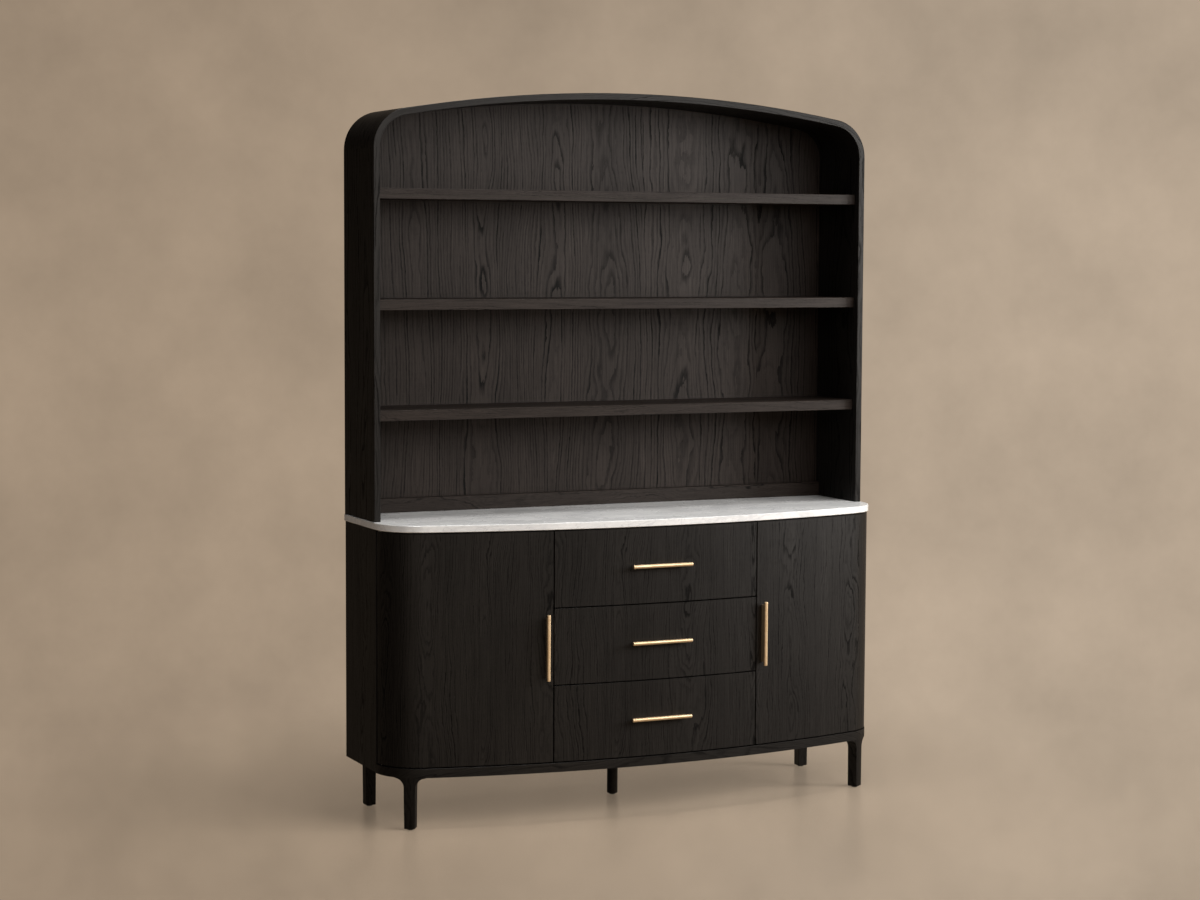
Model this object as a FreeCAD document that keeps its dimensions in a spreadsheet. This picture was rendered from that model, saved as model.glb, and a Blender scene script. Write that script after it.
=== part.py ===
import FreeCAD, Part
import math
import os
import Sketcher

# Bow-front sideboard with an arched open hutch above a stone top.
# The rear face of the piece is the plane y = 0 of every plan drawing, with the front towards -Y.
# Each body is then moved back by rear_shift, so that the origin is under the middle of the piece.

SIZES = (
    # The whole piece
    ("overall_height", 2210.0),
    ("counter_height", 914.4),
    ("body_width", 1676.0),
    ("base_depth", 503.0),
    ("bow_radius", 2900.0),
    ("side_flat", 276.0),
    ("leg_height", 158.0),
    # Stone top
    ("marble_thickness", 21.0),
    ("marble_overhang", 3.0),
    ("marble_edge_round", 2.5),
    # Base case
    ("deck_thickness", 28.0),
    ("front_reveal", 1.5),
    ("side_thickness", 20.0),
    ("sub_top_thickness", 20.0),
    ("partition_thickness", 20.0),
    ("partition_centre", 344.0),
    ("rear_recess", 3.0),
    ("base_back_thickness", 6.0),
    ("back_rebate_width", 6.0),
    ("back_play", 0.4),
    ("cabinet_shelf_thickness", 18.0),
    ("cabinet_shelf_play", 0.8),
    ("cabinet_shelf_setback", 12.0),
    ("shelf_pin_radius", 2.5),
    ("shelf_pin_length", 18.0),
    ("shelf_pin_seat", 9.0),
    ("shelf_pin_inset", 45.0),
    # Doors and drawer fronts
    ("door_thickness", 22.0),
    ("front_gap", 3.0),
    ("top_gap", 4.0),
    ("front_clearance", 3.0),
    ("edge_ease", 1.0),
    ("pivot_pin_radius", 4.0),
    ("pivot_pin_seat", 30.0),
    ("pivot_pin_tail", 10.0),
    ("pivot_pin_end_gap", 0.5),
    ("pivot_clearance", 0.05),
    ("pivot_plate_thickness", 2.5),
    ("pivot_plate_half_width", 9.0),
    ("pivot_plate_reach", 60.0),
    ("plate_seat_play", 0.1),
    ("catch_width", 14.0),
    ("catch_length", 36.0),
    ("catch_height", 16.0),
    ("catch_gap", 1.5),
    ("strike_radius", 7.0),
    ("strike_thickness", 2.0),
    ("strike_play", 0.05),
    # Bar pulls
    ("handle_length", 200.0),
    ("handle_radius", 6.0),
    ("handle_end_ease", 1.2),
    ("handle_projection", 26.0),
    ("handle_web_length", 180.0),
    ("handle_web_thickness", 5.0),
    ("handle_edge_distance", 22.0),
    # Drawer boxes and slides
    ("box_side_thickness", 12.0),
    ("box_back_thickness", 12.0),
    ("box_lift", 30.0),
    ("box_headroom", 51.5),
    ("box_rear_room", 50.0),
    ("box_bottom_thickness", 6.0),
    ("box_bottom_rise", 12.0),
    ("box_groove_depth", 5.0),
    ("box_groove_play", 0.1),
    ("slide_space", 12.7),
    ("slide_length", 400.0),
    ("slide_height", 45.0),
    ("slide_wall", 1.5),
    ("slide_play", 0.5),
    ("slide_setback", 4.0),
    # Hutch
    ("hutch_depth", 269.0),
    ("hutch_thickness", 20.0),
    ("arch_rise", 181.5),
    ("arch_corner_radius", 120.0),
    ("hutch_back_thickness", 8.0),
    ("hutch_shelf_drop", 118.1),
    ("hutch_shelf_thickness", 32.0),
    ("hutch_shelf_setback", 26.0),
    ("back_rail_height", 45.0),
    ("back_rail_thickness", 18.0),
    ("dowel_radius", 4.0),
    ("dowel_length", 30.0),
    ("dowel_seat", 11.0),
    ("dowel_end_room", 1.0),
    ("dowel_play", 0.05),
    ("dowel_inset", 45.0),
    # Plates that tie the hutch to the base behind the stone
    ("tie_plate_half_spread", 420.0),
    ("tie_plate_width", 40.0),
    ("tie_plate_thickness", 3.0),
    ("tie_plate_below", 16.0),
    ("tie_plate_above", 38.0),
    ("tie_plate_corner_round", 6.0),
    # Legs, glides and bolts
    ("front_leg_width", 36.0),
    ("front_leg_foot_width", 33.0),
    ("front_leg_depth", 33.0),
    ("haunch_radius", 28.0),
    ("haunch_land", 2.0),
    ("leg_edge_ease", 2.0),
    ("foot_chamfer", 1.5),
    ("rear_leg_width", 34.0),
    ("rear_leg_foot_width", 32.0),
    ("rear_leg_inset", 54.0),
    ("centre_leg_radius", 17.0),
    ("centre_leg_setback", 163.0),
    ("glide_radius", 10.0),
    ("glide_thickness", 4.0),
    ("glide_edge", 1.0),
    ("leg_bolt_radius", 3.0),
    ("leg_bolt_length", 62.0),
    ("leg_bolt_spread", 7.5),
    ("leg_bolt_head_radius", 5.5),
    ("leg_bolt_head_height", 4.0),
    ("leg_bolt_play", 0.1),
    # One overrun for every cut that runs past a surface
    ("overrun", 5.0),
)

# Turn of each front leg about the vertical, in degrees, to face the rounded corner
ANGLES = (("front_leg_turn", 32.0),)

# Points nearer to each other than this count as one point
NEAR = 0.01

HUTCH_SHELVES = ("hutch_shelf_lower", "hutch_shelf_middle", "hutch_shelf_upper")
DRAWERS = ("lower", "middle", "upper")
SIDES = ((-1, "left"), (1, "right"))

doc = FreeCAD.newDocument("hutch")
sheet = doc.addObject("Spreadsheet::Sheet", "sizes")
for row, (alias, number) in enumerate(SIZES + ANGLES, start=1):
    sheet.set("A%d" % row, alias)
    sheet.set("B%d" % row, str(number))
    sheet.setAlias("B%d" % row, alias)
doc.recompute()

sub_parts = []
cuts = []


class Size:
    """A measure that carries its number and the sheet expression that it comes from."""

    def __init__(self, number, text):
        self.number = number
        self.text = text

    def __add__(self, other):
        return combine(self, "+", other, self.number + as_size(other).number)

    def __radd__(self, other):
        return as_size(other) + self

    def __sub__(self, other):
        return combine(self, "-", other, self.number - as_size(other).number)

    def __rsub__(self, other):
        return as_size(other) - self

    def __mul__(self, other):
        return combine(self, "*", other, self.number * as_size(other).number)

    def __rmul__(self, other):
        return as_size(other) * self

    def __truediv__(self, other):
        return combine(self, "/", other, self.number / as_size(other).number)

    def __neg__(self):
        return Size(-self.number, "(-1 * %s)" % self.text)


def as_size(value):
    """Give a plain number the same form as a measure."""
    return value if isinstance(value, Size) else Size(value, str(value))


def combine(first, sign, second, number):
    """Join two measures by an arithmetic sign."""
    return Size(number, "(%s %s %s)" % (first.text, sign, as_size(second).text))


def size(alias):
    """Read a driving size from the sheet."""
    return Size(sheet.get(alias), "sizes." + alias)


def root(value):
    return Size(math.sqrt(value.number), "sqrt(%s)" % value.text)


def sine(angle):
    return Size(math.sin(math.radians(angle.number)), "sin(%s * 1 deg)" % angle.text)


def cosine(angle):
    return Size(math.cos(math.radians(angle.number)), "cos(%s * 1 deg)" % angle.text)


def arcsine(value):
    """Angle in degrees whose sine is the value."""
    return Size(math.degrees(math.asin(value.number)), "(asin(%s) / 1 deg)" % value.text)


def arctangent(value):
    """Angle in degrees whose tangent is the value."""
    return Size(math.degrees(math.atan(value.number)), "(atan(%s) / 1 deg)" % value.text)


ZERO = as_size(0)

# Plan of the bow front
half_width = size("body_width") / 2
bow_level = size("bow_radius") - size("base_depth")
seam_level = -size("side_flat")
bow_reach = bow_level - seam_level
corner_radius = (size("bow_radius") * size("bow_radius") - bow_reach * bow_reach
                 - half_width * half_width) / ((size("bow_radius") - half_width) * 2)
corner_x = half_width - corner_radius
rear_shift = (size("base_depth") - size("front_reveal") + size("handle_projection")) / 2

# Depths of the layers behind the bow, each measured inwards from the deck's edge
front_inset = size("front_reveal")
lining_inset = front_inset + size("door_thickness")
case_inset = lining_inset + size("front_clearance")
shelf_inset = case_inset + size("cabinet_shelf_setback")

# Faces across the width
case_half = half_width - front_inset
case_inner = case_half - size("side_thickness")
hutch_inner = half_width - size("hutch_thickness")
bay_inner = size("partition_centre") + size("partition_thickness") / 2
stack_inner = size("partition_centre") - size("partition_thickness") / 2
front_cut = size("partition_centre") - size("front_gap") / 2
door_cut = size("partition_centre") + size("front_gap") / 2

# Levels above the floor
deck_top = size("leg_height") + size("deck_thickness")
slab_bottom = size("counter_height") - size("marble_thickness")
sub_top_bottom = slab_bottom - size("sub_top_thickness")
door_bottom = deck_top + size("front_gap")
door_height = slab_bottom - size("top_gap") - door_bottom
drawer_pitch = (door_height + size("front_gap")) / len(DRAWERS)
box_height = drawer_pitch - size("front_gap") - size("box_lift") - size("box_headroom")
cabinet_shelf_level = (deck_top + sub_top_bottom) / 2
spring_level = size("overall_height") - size("arch_rise")
hutch_side_height = spring_level - size("counter_height")
hutch_shelf_pitch = (hutch_side_height - size("hutch_shelf_drop")) / len(HUTCH_SHELVES)

# Rear faces
rear_face = -size("rear_recess")
base_back_face = rear_face - size("base_back_thickness")
hutch_back_face = rear_face - size("hutch_back_thickness")

# Arch of the hutch, drawn from its spring line
arch_corner_x = half_width - size("arch_corner_radius")
arch_radius = (arch_corner_x * arch_corner_x + size("arch_rise") * size("arch_rise")
               - size("arch_corner_radius") * size("arch_corner_radius")) / (
                   (size("arch_rise") - size("arch_corner_radius")) * 2)
arch_level = size("arch_rise") - arch_radius

# Door pivots, at the middle of the door's thickness
pivot_level = seam_level - size("front_gap") - size("door_thickness") / 2
pivot_swing = corner_radius - front_inset - size("door_thickness") / 2
pivot_x = corner_x + root(pivot_swing * pivot_swing - (seam_level - pivot_level) * (seam_level - pivot_level))


def bow_y(inset, x):
    """Depth of the bow at the distance x from the middle, at an inset from the deck's edge."""
    radius = size("bow_radius") - inset
    return bow_level - root(radius * radius - x * x)


def bow_turn(inset, x):
    """Angle in degrees by which the bow's face is turned at the distance x from the middle."""
    return arcsine(x / (size("bow_radius") - inset))


def turned(angle, side):
    """Mirror an angle in radians for the left-hand side."""
    return angle if side > 0 else math.pi - angle


# Drawing and shaping
class Edge:
    """A line or arc of a sketch, with the vertex where travel along it starts and ends."""

    def __init__(self, geometry, first, last):
        self.start = (geometry, first)
        self.end = (geometry, last)
        self.centre = (geometry, 3)

    def flipped(self):
        return Edge(self.start[0], self.end[1], self.start[1])


def vector(point):
    return FreeCAD.Vector(point[0].number, point[1].number, 0)


class Outline:
    """A sketch on one of a body's own planes, drawn edge by edge and tied to the sheet."""

    def __init__(self, body, plane, purpose, lift=ZERO):
        self.sketch = body.newObject("Sketcher::SketchObject", "%s_%s" % (body.Label, purpose))
        for feature in body.Origin.OriginFeatures:
            if feature.Role == plane:
                self.sketch.AttachmentSupport = [(feature, "")]
        self.sketch.MapMode = "FlatFace"
        if lift is not ZERO:
            self.sketch.setExpression("AttachmentOffset.Base.z", lift.text)

    def tie(self, constraint, measure):
        index = self.sketch.addConstraint(constraint)
        self.sketch.setExpression("Constraints[%d]" % index, measure.text)

    def place(self, vertex, x=None, y=None):
        """Tie a vertex to its distances from the sketch's axes."""
        for kind, axis, measure in (("DistanceX", -2, x), ("DistanceY", -1, y)):
            if measure is None:
                continue
            if measure.number == 0:
                self.sketch.addConstraint(Sketcher.Constraint("PointOnObject", *vertex, axis))
            else:
                self.tie(Sketcher.Constraint(kind, -1, 1, *vertex, measure.number), measure)

    def line(self, start, end):
        segment = Part.LineSegment(vector(start), vector(end))
        return Edge(self.sketch.addGeometry(segment, False), 1, 2)

    def arc(self, centre, radius, first, last):
        """Draw an arc from one angle to another, in radians, either way round."""
        circle = Part.Circle(vector(centre), FreeCAD.Vector(0, 0, 1), radius.number)
        arc = Part.ArcOfCircle(circle, min(first, last), max(first, last))
        geometry = self.sketch.addGeometry(arc, False)
        return Edge(geometry, 1, 2) if first < last else Edge(geometry, 2, 1)

    def set_radius(self, edge, radius):
        self.tie(Sketcher.Constraint("Radius", edge.start[0], radius.number), radius)

    def upright(self, *edges):
        for edge in edges:
            self.sketch.addConstraint(Sketcher.Constraint("Vertical", edge.start[0]))

    def ring(self, edges, smooth=()):
        """Join the edges end to start. The joints whose numbers are in smooth are tangent."""
        for index, edge in enumerate(edges):
            following = edges[(index + 1) % len(edges)]
            kind = "Tangent" if index in smooth else "Coincident"
            self.sketch.addConstraint(Sketcher.Constraint(kind, *edge.end, *following.start))

    def polygon(self, points):
        edges = [self.line(point, points[(index + 1) % len(points)]) for index, point in enumerate(points)]
        self.ring(edges)
        for edge, point in zip(edges, points):
            self.place(edge.start, *point)

    def rectangle(self, x_first, y_first, x_last, y_last):
        self.polygon([(x_first, y_first), (x_last, y_first), (x_last, y_last), (x_first, y_last)])

    def circle(self, centre, radius):
        shape = Part.Circle(vector(centre), FreeCAD.Vector(0, 0, 1), radius.number)
        geometry = self.sketch.addGeometry(shape, False)
        self.place((geometry, 3), *centre)
        self.tie(Sketcher.Constraint("Radius", geometry, radius.number), radius)

    def slot(self, first, last, radius):
        """Draw a slot with round ends about two centres on one level, first on the right."""
        up, right, left = math.pi / 2, 0.0, math.pi
        nose = self.arc(first, radius, right - up, right + up)
        top = self.line((first[0], first[1] + radius), (last[0], last[1] + radius))
        tail = self.arc(last, radius, left - up, left + up)
        foot = self.line((last[0], last[1] - radius), (first[0], first[1] - radius))
        self.ring([nose, top, tail, foot], smooth=(0, 1, 2, 3))
        for edge, centre in ((nose, first), (tail, last)):
            self.place(edge.centre, *centre)
            self.set_radius(edge, radius)

    def corner_bow_corner(self, x, level, centre_level, radius, corner):
        """Draw a corner arc, a wide bow and a corner arc, tangent, from the right end to the left."""
        rise = level - centre_level
        joint = math.atan2(rise.number, x.number)
        half_turn = math.copysign(math.pi, joint)
        right = self.arc((x, level), corner, 0.0, joint)
        bow = self.arc((ZERO, centre_level), radius, joint, half_turn - joint)
        left = self.arc((-x, level), corner, half_turn - joint, half_turn)
        for edge, following in ((right, bow), (bow, left)):
            self.sketch.addConstraint(Sketcher.Constraint("Tangent", *edge.end, *following.start))
        self.place(right.centre, x, level)
        self.place(left.centre, -x, level)
        self.place(bow.centre, ZERO, centre_level)
        self.set_radius(bow, radius)
        self.place(right.start, None, level)
        self.place(left.end, None, level)
        return [right, bow, left]

    def bow_plan(self, inset, behind):
        """Draw a panel with a bow front; behind holds its right-hand corners, from the seam to the rear."""
        radius = size("bow_radius") - inset
        front = self.corner_bow_corner(corner_x, seam_level, bow_level, radius, corner_radius - inset)
        edge_x = half_width - inset
        corners = [(-x, y) for x, y in behind] + list(reversed(behind))
        stops = [(-edge_x, seam_level)] + corners + [(edge_x, seam_level)]
        lines = [self.line(start, end) for start, end in zip(stops, stops[1:])]
        for edge, following in zip([front[2]] + lines, lines + [front[0]]):
            self.sketch.addConstraint(Sketcher.Constraint("Coincident", *edge.end, *following.start))
        for edge, corner in zip(lines, corners):
            self.place(edge.end, *corner)

    def half_bow_plan(self, side, inset, x_cut, behind):
        """Draw one side of such a panel, cut straight at x_cut; behind runs from the cut's rear to the seam."""
        joint = math.atan2((seam_level - bow_level).number, corner_x.number)
        radius = size("bow_radius") - inset
        stop = -math.acos(x_cut.number / radius.number)
        angles = [turned(angle, side) for angle in (0.0, joint, stop)]
        corner = self.arc((corner_x * side, seam_level), corner_radius - inset, *angles[:2])
        bow = self.arc((ZERO, bow_level), radius, *angles[1:])
        stops = [(x_cut * side, bow_y(inset, x_cut))] + [(x * side, y) for x, y in behind]
        stops.append(((half_width - inset) * side, seam_level))
        lines = [self.line(start, end) for start, end in zip(stops, stops[1:])]
        self.ring([corner, bow] + lines, smooth=(0,))
        self.place(corner.centre, corner_x * side, seam_level)
        self.place(bow.centre, ZERO, bow_level)
        self.set_radius(bow, radius)
        self.place(bow.end, x_cut * side)
        self.place(corner.start, None, seam_level)
        for edge, corner_point in zip(lines, stops[1:-1]):
            self.place(edge.end, *corner_point)


def new_body(label, x=ZERO, y=ZERO, z=ZERO, turn=None):
    """Start a sub-part at its place. Its y is measured from the rear face."""
    body = doc.addObject("PartDesign::Body", label)
    body.Label = label
    body.AllowCompound = True
    degrees = turn.number if turn else 0
    body.Placement = FreeCAD.Placement(FreeCAD.Vector(), FreeCAD.Rotation(FreeCAD.Vector(0, 0, 1), degrees))
    if turn:
        body.setExpression("Placement.Rotation.Angle", "(%s) * 1 deg" % turn.text)
    for axis, place in (("x", x), ("y", rear_shift + y), ("z", z)):
        body.setExpression("Placement.Base." + axis, place.text)
    sub_parts.append(body)
    return body


def pad(body, outline, length, backwards=False):
    feature = body.newObject("PartDesign::Pad", body.Label + "_pad")
    feature.Profile = outline.sketch
    feature.setExpression("Length", length.text)
    feature.Reversed = backwards
    return feature


def cut(body, outline, depth, backwards=False):
    """Pocket a sketch. It cuts against the sketch's normal, or along it when backwards."""
    feature = body.newObject("PartDesign::Pocket", body.Label + "_pocket")
    feature.Profile = outline.sketch
    feature.setExpression("Length", depth.text)
    feature.Reversed = backwards
    cuts.append(feature)
    return feature


def dress(body, kind, measure, test):
    """Fillet or chamfer the edges of the body's shape that pass the test."""
    doc.recompute()
    base = body.Tip
    names = ["Edge%d" % index for index, edge in enumerate(base.Shape.Edges, start=1) if test(edge)]
    feature = body.newObject("PartDesign::" + kind, "%s_%s" % (body.Label, kind.lower()))
    feature.Base = (base, names)
    feature.setExpression("Radius" if kind == "Fillet" else "Size", measure.text)
    return feature


def is_upright(edge):
    box = edge.BoundBox
    return box.ZLength > max(box.XLength, box.YLength) and len(edge.Vertexes) == 2


def is_long(edge):
    """An edge that runs mainly across the piece, from side to side."""
    box = edge.BoundBox
    return box.XLength > max(box.YLength, box.ZLength)


def ease(body, test):
    """Take the sharpness off the edges that pass the test."""
    return dress(body, "Chamfer", size("edge_ease"), test)


def drill(body, plane, centres, radius, lift, depth, backwards=False):
    outline = Outline(body, plane, "bores", lift)
    for centre in centres:
        outline.circle(centre, radius)
    return cut(body, outline, depth, backwards)


# Stone top
def marble_top():
    body = new_body("marble_top", z=slab_bottom)
    outline = Outline(body, "XY_Plane", "plan")
    outline.bow_plan(-size("marble_overhang"), [(half_width + size("marble_overhang"), rear_face)])
    pad(body, outline, size("marble_thickness"))
    rear_line = (rear_face - size("marble_edge_round")).number

    def is_polished(edge):
        return edge.BoundBox.ZLength < size("marble_edge_round").number and edge.BoundBox.YMin < rear_line

    dress(body, "Fillet", size("marble_edge_round"), is_polished)


# Base case
def front_leg_points():
    """Centres of the bolts of both front legs, in plan."""
    turn = size("front_leg_turn")
    reach = corner_radius - size("front_leg_depth") / 2
    points = []
    for side, _ in SIDES:
        for step in (-1, 1):
            along = size("leg_bolt_spread") * step
            x = corner_x + reach * sine(turn) + along * cosine(turn)
            y = seam_level - reach * cosine(turn) + along * sine(turn)
            points.append((x * side, y))
    return points


def leg_bolt_points():
    """Centres of every leg bolt, in plan."""
    rear_y = -size("rear_leg_width") / 2
    points = front_leg_points()
    for step in (-1, 1):
        along = size("leg_bolt_spread") * step
        for side, _ in SIDES:
            points.append((rear_leg_x * side + along, rear_y))
        points.append((along, -size("centre_leg_setback")))
    return points


def cut_pivot_seats(body, top):
    """Let the pivot plates into a panel's upper face."""
    seat = Outline(body, "XY_Plane", "plate_seats", top)
    for side, _ in SIDES:
        pivot_slot(seat, side, size("pivot_plate_half_width") + size("plate_seat_play"))
    cut(body, seat, size("pivot_plate_thickness"))


def pivot_slot(outline, side, radius):
    """Draw a pivot plate's outline, from the pivot in towards the middle."""
    tail_x = pivot_x - size("pivot_plate_reach")
    ends = [(pivot_x * side, pivot_level), (tail_x * side, pivot_level)]
    first, last = ends if side > 0 else ends[::-1]
    outline.slot(first, last, radius)


def base_deck():
    body = new_body("base_deck", z=size("leg_height"))
    outline = Outline(body, "XY_Plane", "plan")
    outline.bow_plan(ZERO, [(case_inner, seam_level), (case_inner, ZERO)])
    pad(body, outline, size("deck_thickness"))
    lowest = (size("deck_thickness") - NEAR).number
    foremost = seam_level.number
    ease(body, lambda edge: is_long(edge) and edge.BoundBox.ZMin > lowest and edge.BoundBox.YMin < foremost)
    cut_pivot_seats(body, size("deck_thickness"))
    pivots = [(pivot_x * side, pivot_level) for side, _ in SIDES]
    drill(body, "XY_Plane", pivots, size("pivot_pin_radius") + size("pivot_clearance") * 2,
          size("deck_thickness"), size("pivot_pin_tail") + size("pivot_plate_thickness"))
    play = size("leg_bolt_play")
    drill(body, "XY_Plane", leg_bolt_points(), size("leg_bolt_radius") + play,
          size("deck_thickness"), size("deck_thickness") + size("overrun"))
    drill(body, "XY_Plane", leg_bolt_points(), size("leg_bolt_head_radius") + play,
          size("deck_thickness"), size("leg_bolt_head_height"))


def base_side(side, name):
    """Flat end panel, down to the underside of the deck, rebated for the back."""
    body = new_body("base_side_" + name, z=size("leg_height"))
    outline = Outline(body, "XY_Plane", "plan")
    rebate_x = case_inner + size("back_rebate_width")
    points = [(case_half, ZERO), (case_half, seam_level), (case_inner, seam_level),
              (case_inner, base_back_face), (rebate_x, base_back_face), (rebate_x, ZERO)]
    outline.polygon([(x * side, y) for x, y in points])
    pad(body, outline, slab_bottom - size("leg_height"))
    outside = (case_half - NEAR).number
    ease(body, lambda edge: is_upright(edge) and abs(edge.BoundBox.Center.x) > outside)
    pin_seats(body, side, case_inner, size("leg_height"))


def pin_rows():
    """Depths at which the shelf pins stand, behind the seam and before the back panel."""
    return (base_back_face - size("shelf_pin_inset"), seam_level + size("shelf_pin_inset"))


def pin_seats(body, side, face, floor):
    """Bore the shelf pins' seats into the inner face of an end panel or the outer face of a partition."""
    level = cabinet_shelf_level - size("shelf_pin_radius") - floor
    centres = [(y, level) for y in pin_rows()]
    outward = face is case_inner
    drill(body, "YZ_Plane", centres, size("shelf_pin_radius") + size("dowel_play"), face * side,
          size("shelf_pin_seat") + size("dowel_end_room"), backwards=(side > 0) == outward)


def base_back_panel():
    body = new_body("base_back_panel", z=deck_top)
    outline = Outline(body, "XY_Plane", "plan")
    reach = case_inner + size("back_rebate_width") - size("back_play")
    outline.rectangle(-reach, base_back_face, reach, rear_face)
    pad(body, outline, sub_top_bottom - deck_top)


def base_sub_top():
    body = new_body("base_sub_top", z=sub_top_bottom)
    outline = Outline(body, "XY_Plane", "plan")
    outline.bow_plan(case_inset, [(case_inner, seam_level), (case_inner, rear_face)])
    pad(body, outline, size("sub_top_thickness"))
    cut_pivot_seats(body, size("sub_top_thickness"))


def partition(side, name):
    body = new_body("partition_" + name, z=deck_top)
    outline = Outline(body, "XY_Plane", "plan")
    outline.rectangle(stack_inner * side, base_back_face, bay_inner * side, partition_front)
    pad(body, outline, sub_top_bottom - deck_top)
    pin_seats(body, side, bay_inner, deck_top)


def cabinet_shelf(side, name):
    """Loose shelf that follows the door's curve a little behind it."""
    body = new_body("cabinet_shelf_" + name, z=cabinet_shelf_level)
    outline = Outline(body, "XY_Plane", "plan")
    play = size("cabinet_shelf_play")
    outer = case_inner - play
    rear = base_back_face - play
    outline.half_bow_plan(side, shelf_inset, bay_inner + play,
                          [(bay_inner + play, rear), (outer, rear), (outer, seam_level)])
    pad(body, outline, size("cabinet_shelf_thickness"))


def shelf_pins():
    """Round pins that carry the two cabinet shelves, four to a shelf."""
    body = new_body("shelf_pins", z=cabinet_shelf_level - size("shelf_pin_radius"))
    for side, _ in SIDES:
        for inner_end in (bay_inner - size("shelf_pin_seat"), case_inner + size("shelf_pin_seat")
                          - size("shelf_pin_length")):
            start = inner_end if side > 0 else -inner_end - size("shelf_pin_length")
            outline = Outline(body, "YZ_Plane", "circles", start)
            for y in pin_rows():
                outline.circle((y, ZERO), size("shelf_pin_radius"))
            pad(body, outline, size("shelf_pin_length"))


# Door hardware
def pivot_plates():
    """Four plates that hold the doors' pins, let into the deck and the sub-top."""
    body = new_body("door_pivot_plates", z=deck_top - size("pivot_plate_thickness"))
    for level in (ZERO, slab_bottom - deck_top):
        outline = Outline(body, "XY_Plane", "plan", level)
        for side, _ in SIDES:
            pivot_slot(outline, side, size("pivot_plate_half_width"))
            bore = size("pivot_pin_radius") + size("pivot_clearance")
            outline.circle((pivot_x * side, pivot_level), bore)
        pad(body, outline, size("pivot_plate_thickness"))


def door_pivot_pins(side, name):
    """Lower and upper pins, fixed in the door and turning in the plates."""
    body = new_body("door_%s_pivot_pins" % name, z=door_bottom)
    below = size("front_gap") + size("pivot_plate_thickness") + size("pivot_pin_tail") / 2
    above = size("top_gap") - size("pivot_pin_end_gap")
    seat = size("pivot_pin_seat")
    for start, length in ((-below, below + seat), (door_height - seat, seat + above)):
        outline = Outline(body, "XY_Plane", "circle", start)
        outline.circle((pivot_x * side, pivot_level), size("pivot_pin_radius"))
        pad(body, outline, length)


def door(side, name):
    """Curved door of even thickness, from a round nose at the seam, round the corner and along the bow."""
    body = new_body("door_" + name, z=door_bottom)
    outline = Outline(body, "XY_Plane", "plan")
    joint = math.atan2((seam_level - bow_level).number, corner_x.number)
    nose_turn = -math.asin(((seam_level - pivot_level) / pivot_swing).number)
    nose, joint_angle, back = (turned(angle, side) for angle in (nose_turn, joint, nose_turn + math.pi))
    corner_centre = (corner_x * side, seam_level)
    bow_centre = (ZERO, bow_level)
    bows = []
    corners = []
    for inset in (front_inset, lining_inset):
        radius = size("bow_radius") - inset
        stop = turned(-math.acos((door_cut / radius).number), side)
        corners.append(outline.arc(corner_centre, corner_radius - inset, nose, joint_angle))
        bows.append(outline.arc(bow_centre, radius, joint_angle, stop))
        outline.place(corners[-1].centre, *corner_centre)
        outline.place(bows[-1].centre, *bow_centre)
        outline.set_radius(bows[-1], radius)
    free_edge = outline.line((door_cut * side, bow_y(front_inset, door_cut)),
                             (door_cut * side, bow_y(lining_inset, door_cut)))
    round_nose = outline.arc((pivot_x * side, pivot_level), size("door_thickness") / 2, back, nose)
    outline.ring([corners[0], bows[0], free_edge, bows[1].flipped(), corners[1].flipped(), round_nose],
                 smooth=(0, 3, 4, 5))
    outline.upright(free_edge)
    outline.place(free_edge.start, door_cut * side)
    outline.place(round_nose.centre, None, pivot_level)
    pad(body, outline, door_height)
    free_x = (door_cut + NEAR).number
    ease(body, lambda edge: not is_upright(edge) or abs(edge.BoundBox.Center.x) < free_x)
    pivot = [(pivot_x * side, pivot_level)]
    bore = size("pivot_pin_radius") + size("dowel_play")
    depth = size("pivot_pin_seat") + size("dowel_end_room")
    drill(body, "XY_Plane", pivot, bore, ZERO, depth, backwards=True)
    drill(body, "XY_Plane", pivot, bore, door_height, depth)


def door_catches():
    """Magnetic catch blocks under the sub-top, against the partitions' outer faces."""
    body = new_body("door_catches", z=sub_top_bottom - size("catch_height"))
    outline = Outline(body, "XY_Plane", "plan")
    front = strike_y + size("strike_thickness") + size("catch_gap")
    for side, _ in SIDES:
        outline.rectangle(bay_inner * side, front, (bay_inner + size("catch_width")) * side,
                          front + size("catch_length"))
    pad(body, outline, size("catch_height"))


def door_strike(side, name):
    """Round steel strike on the door's inner face, opposite the catch."""
    body = new_body("door_%s_strike" % name, x=strike_x * side, y=strike_y + size("strike_play"),
                    z=sub_top_bottom - size("catch_height") / 2, turn=bow_turn(lining_inset, strike_x) * side)
    outline = Outline(body, "XZ_Plane", "circle")
    outline.circle((ZERO, ZERO), size("strike_radius"))
    pad(body, outline, size("strike_thickness"), backwards=True)


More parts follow.
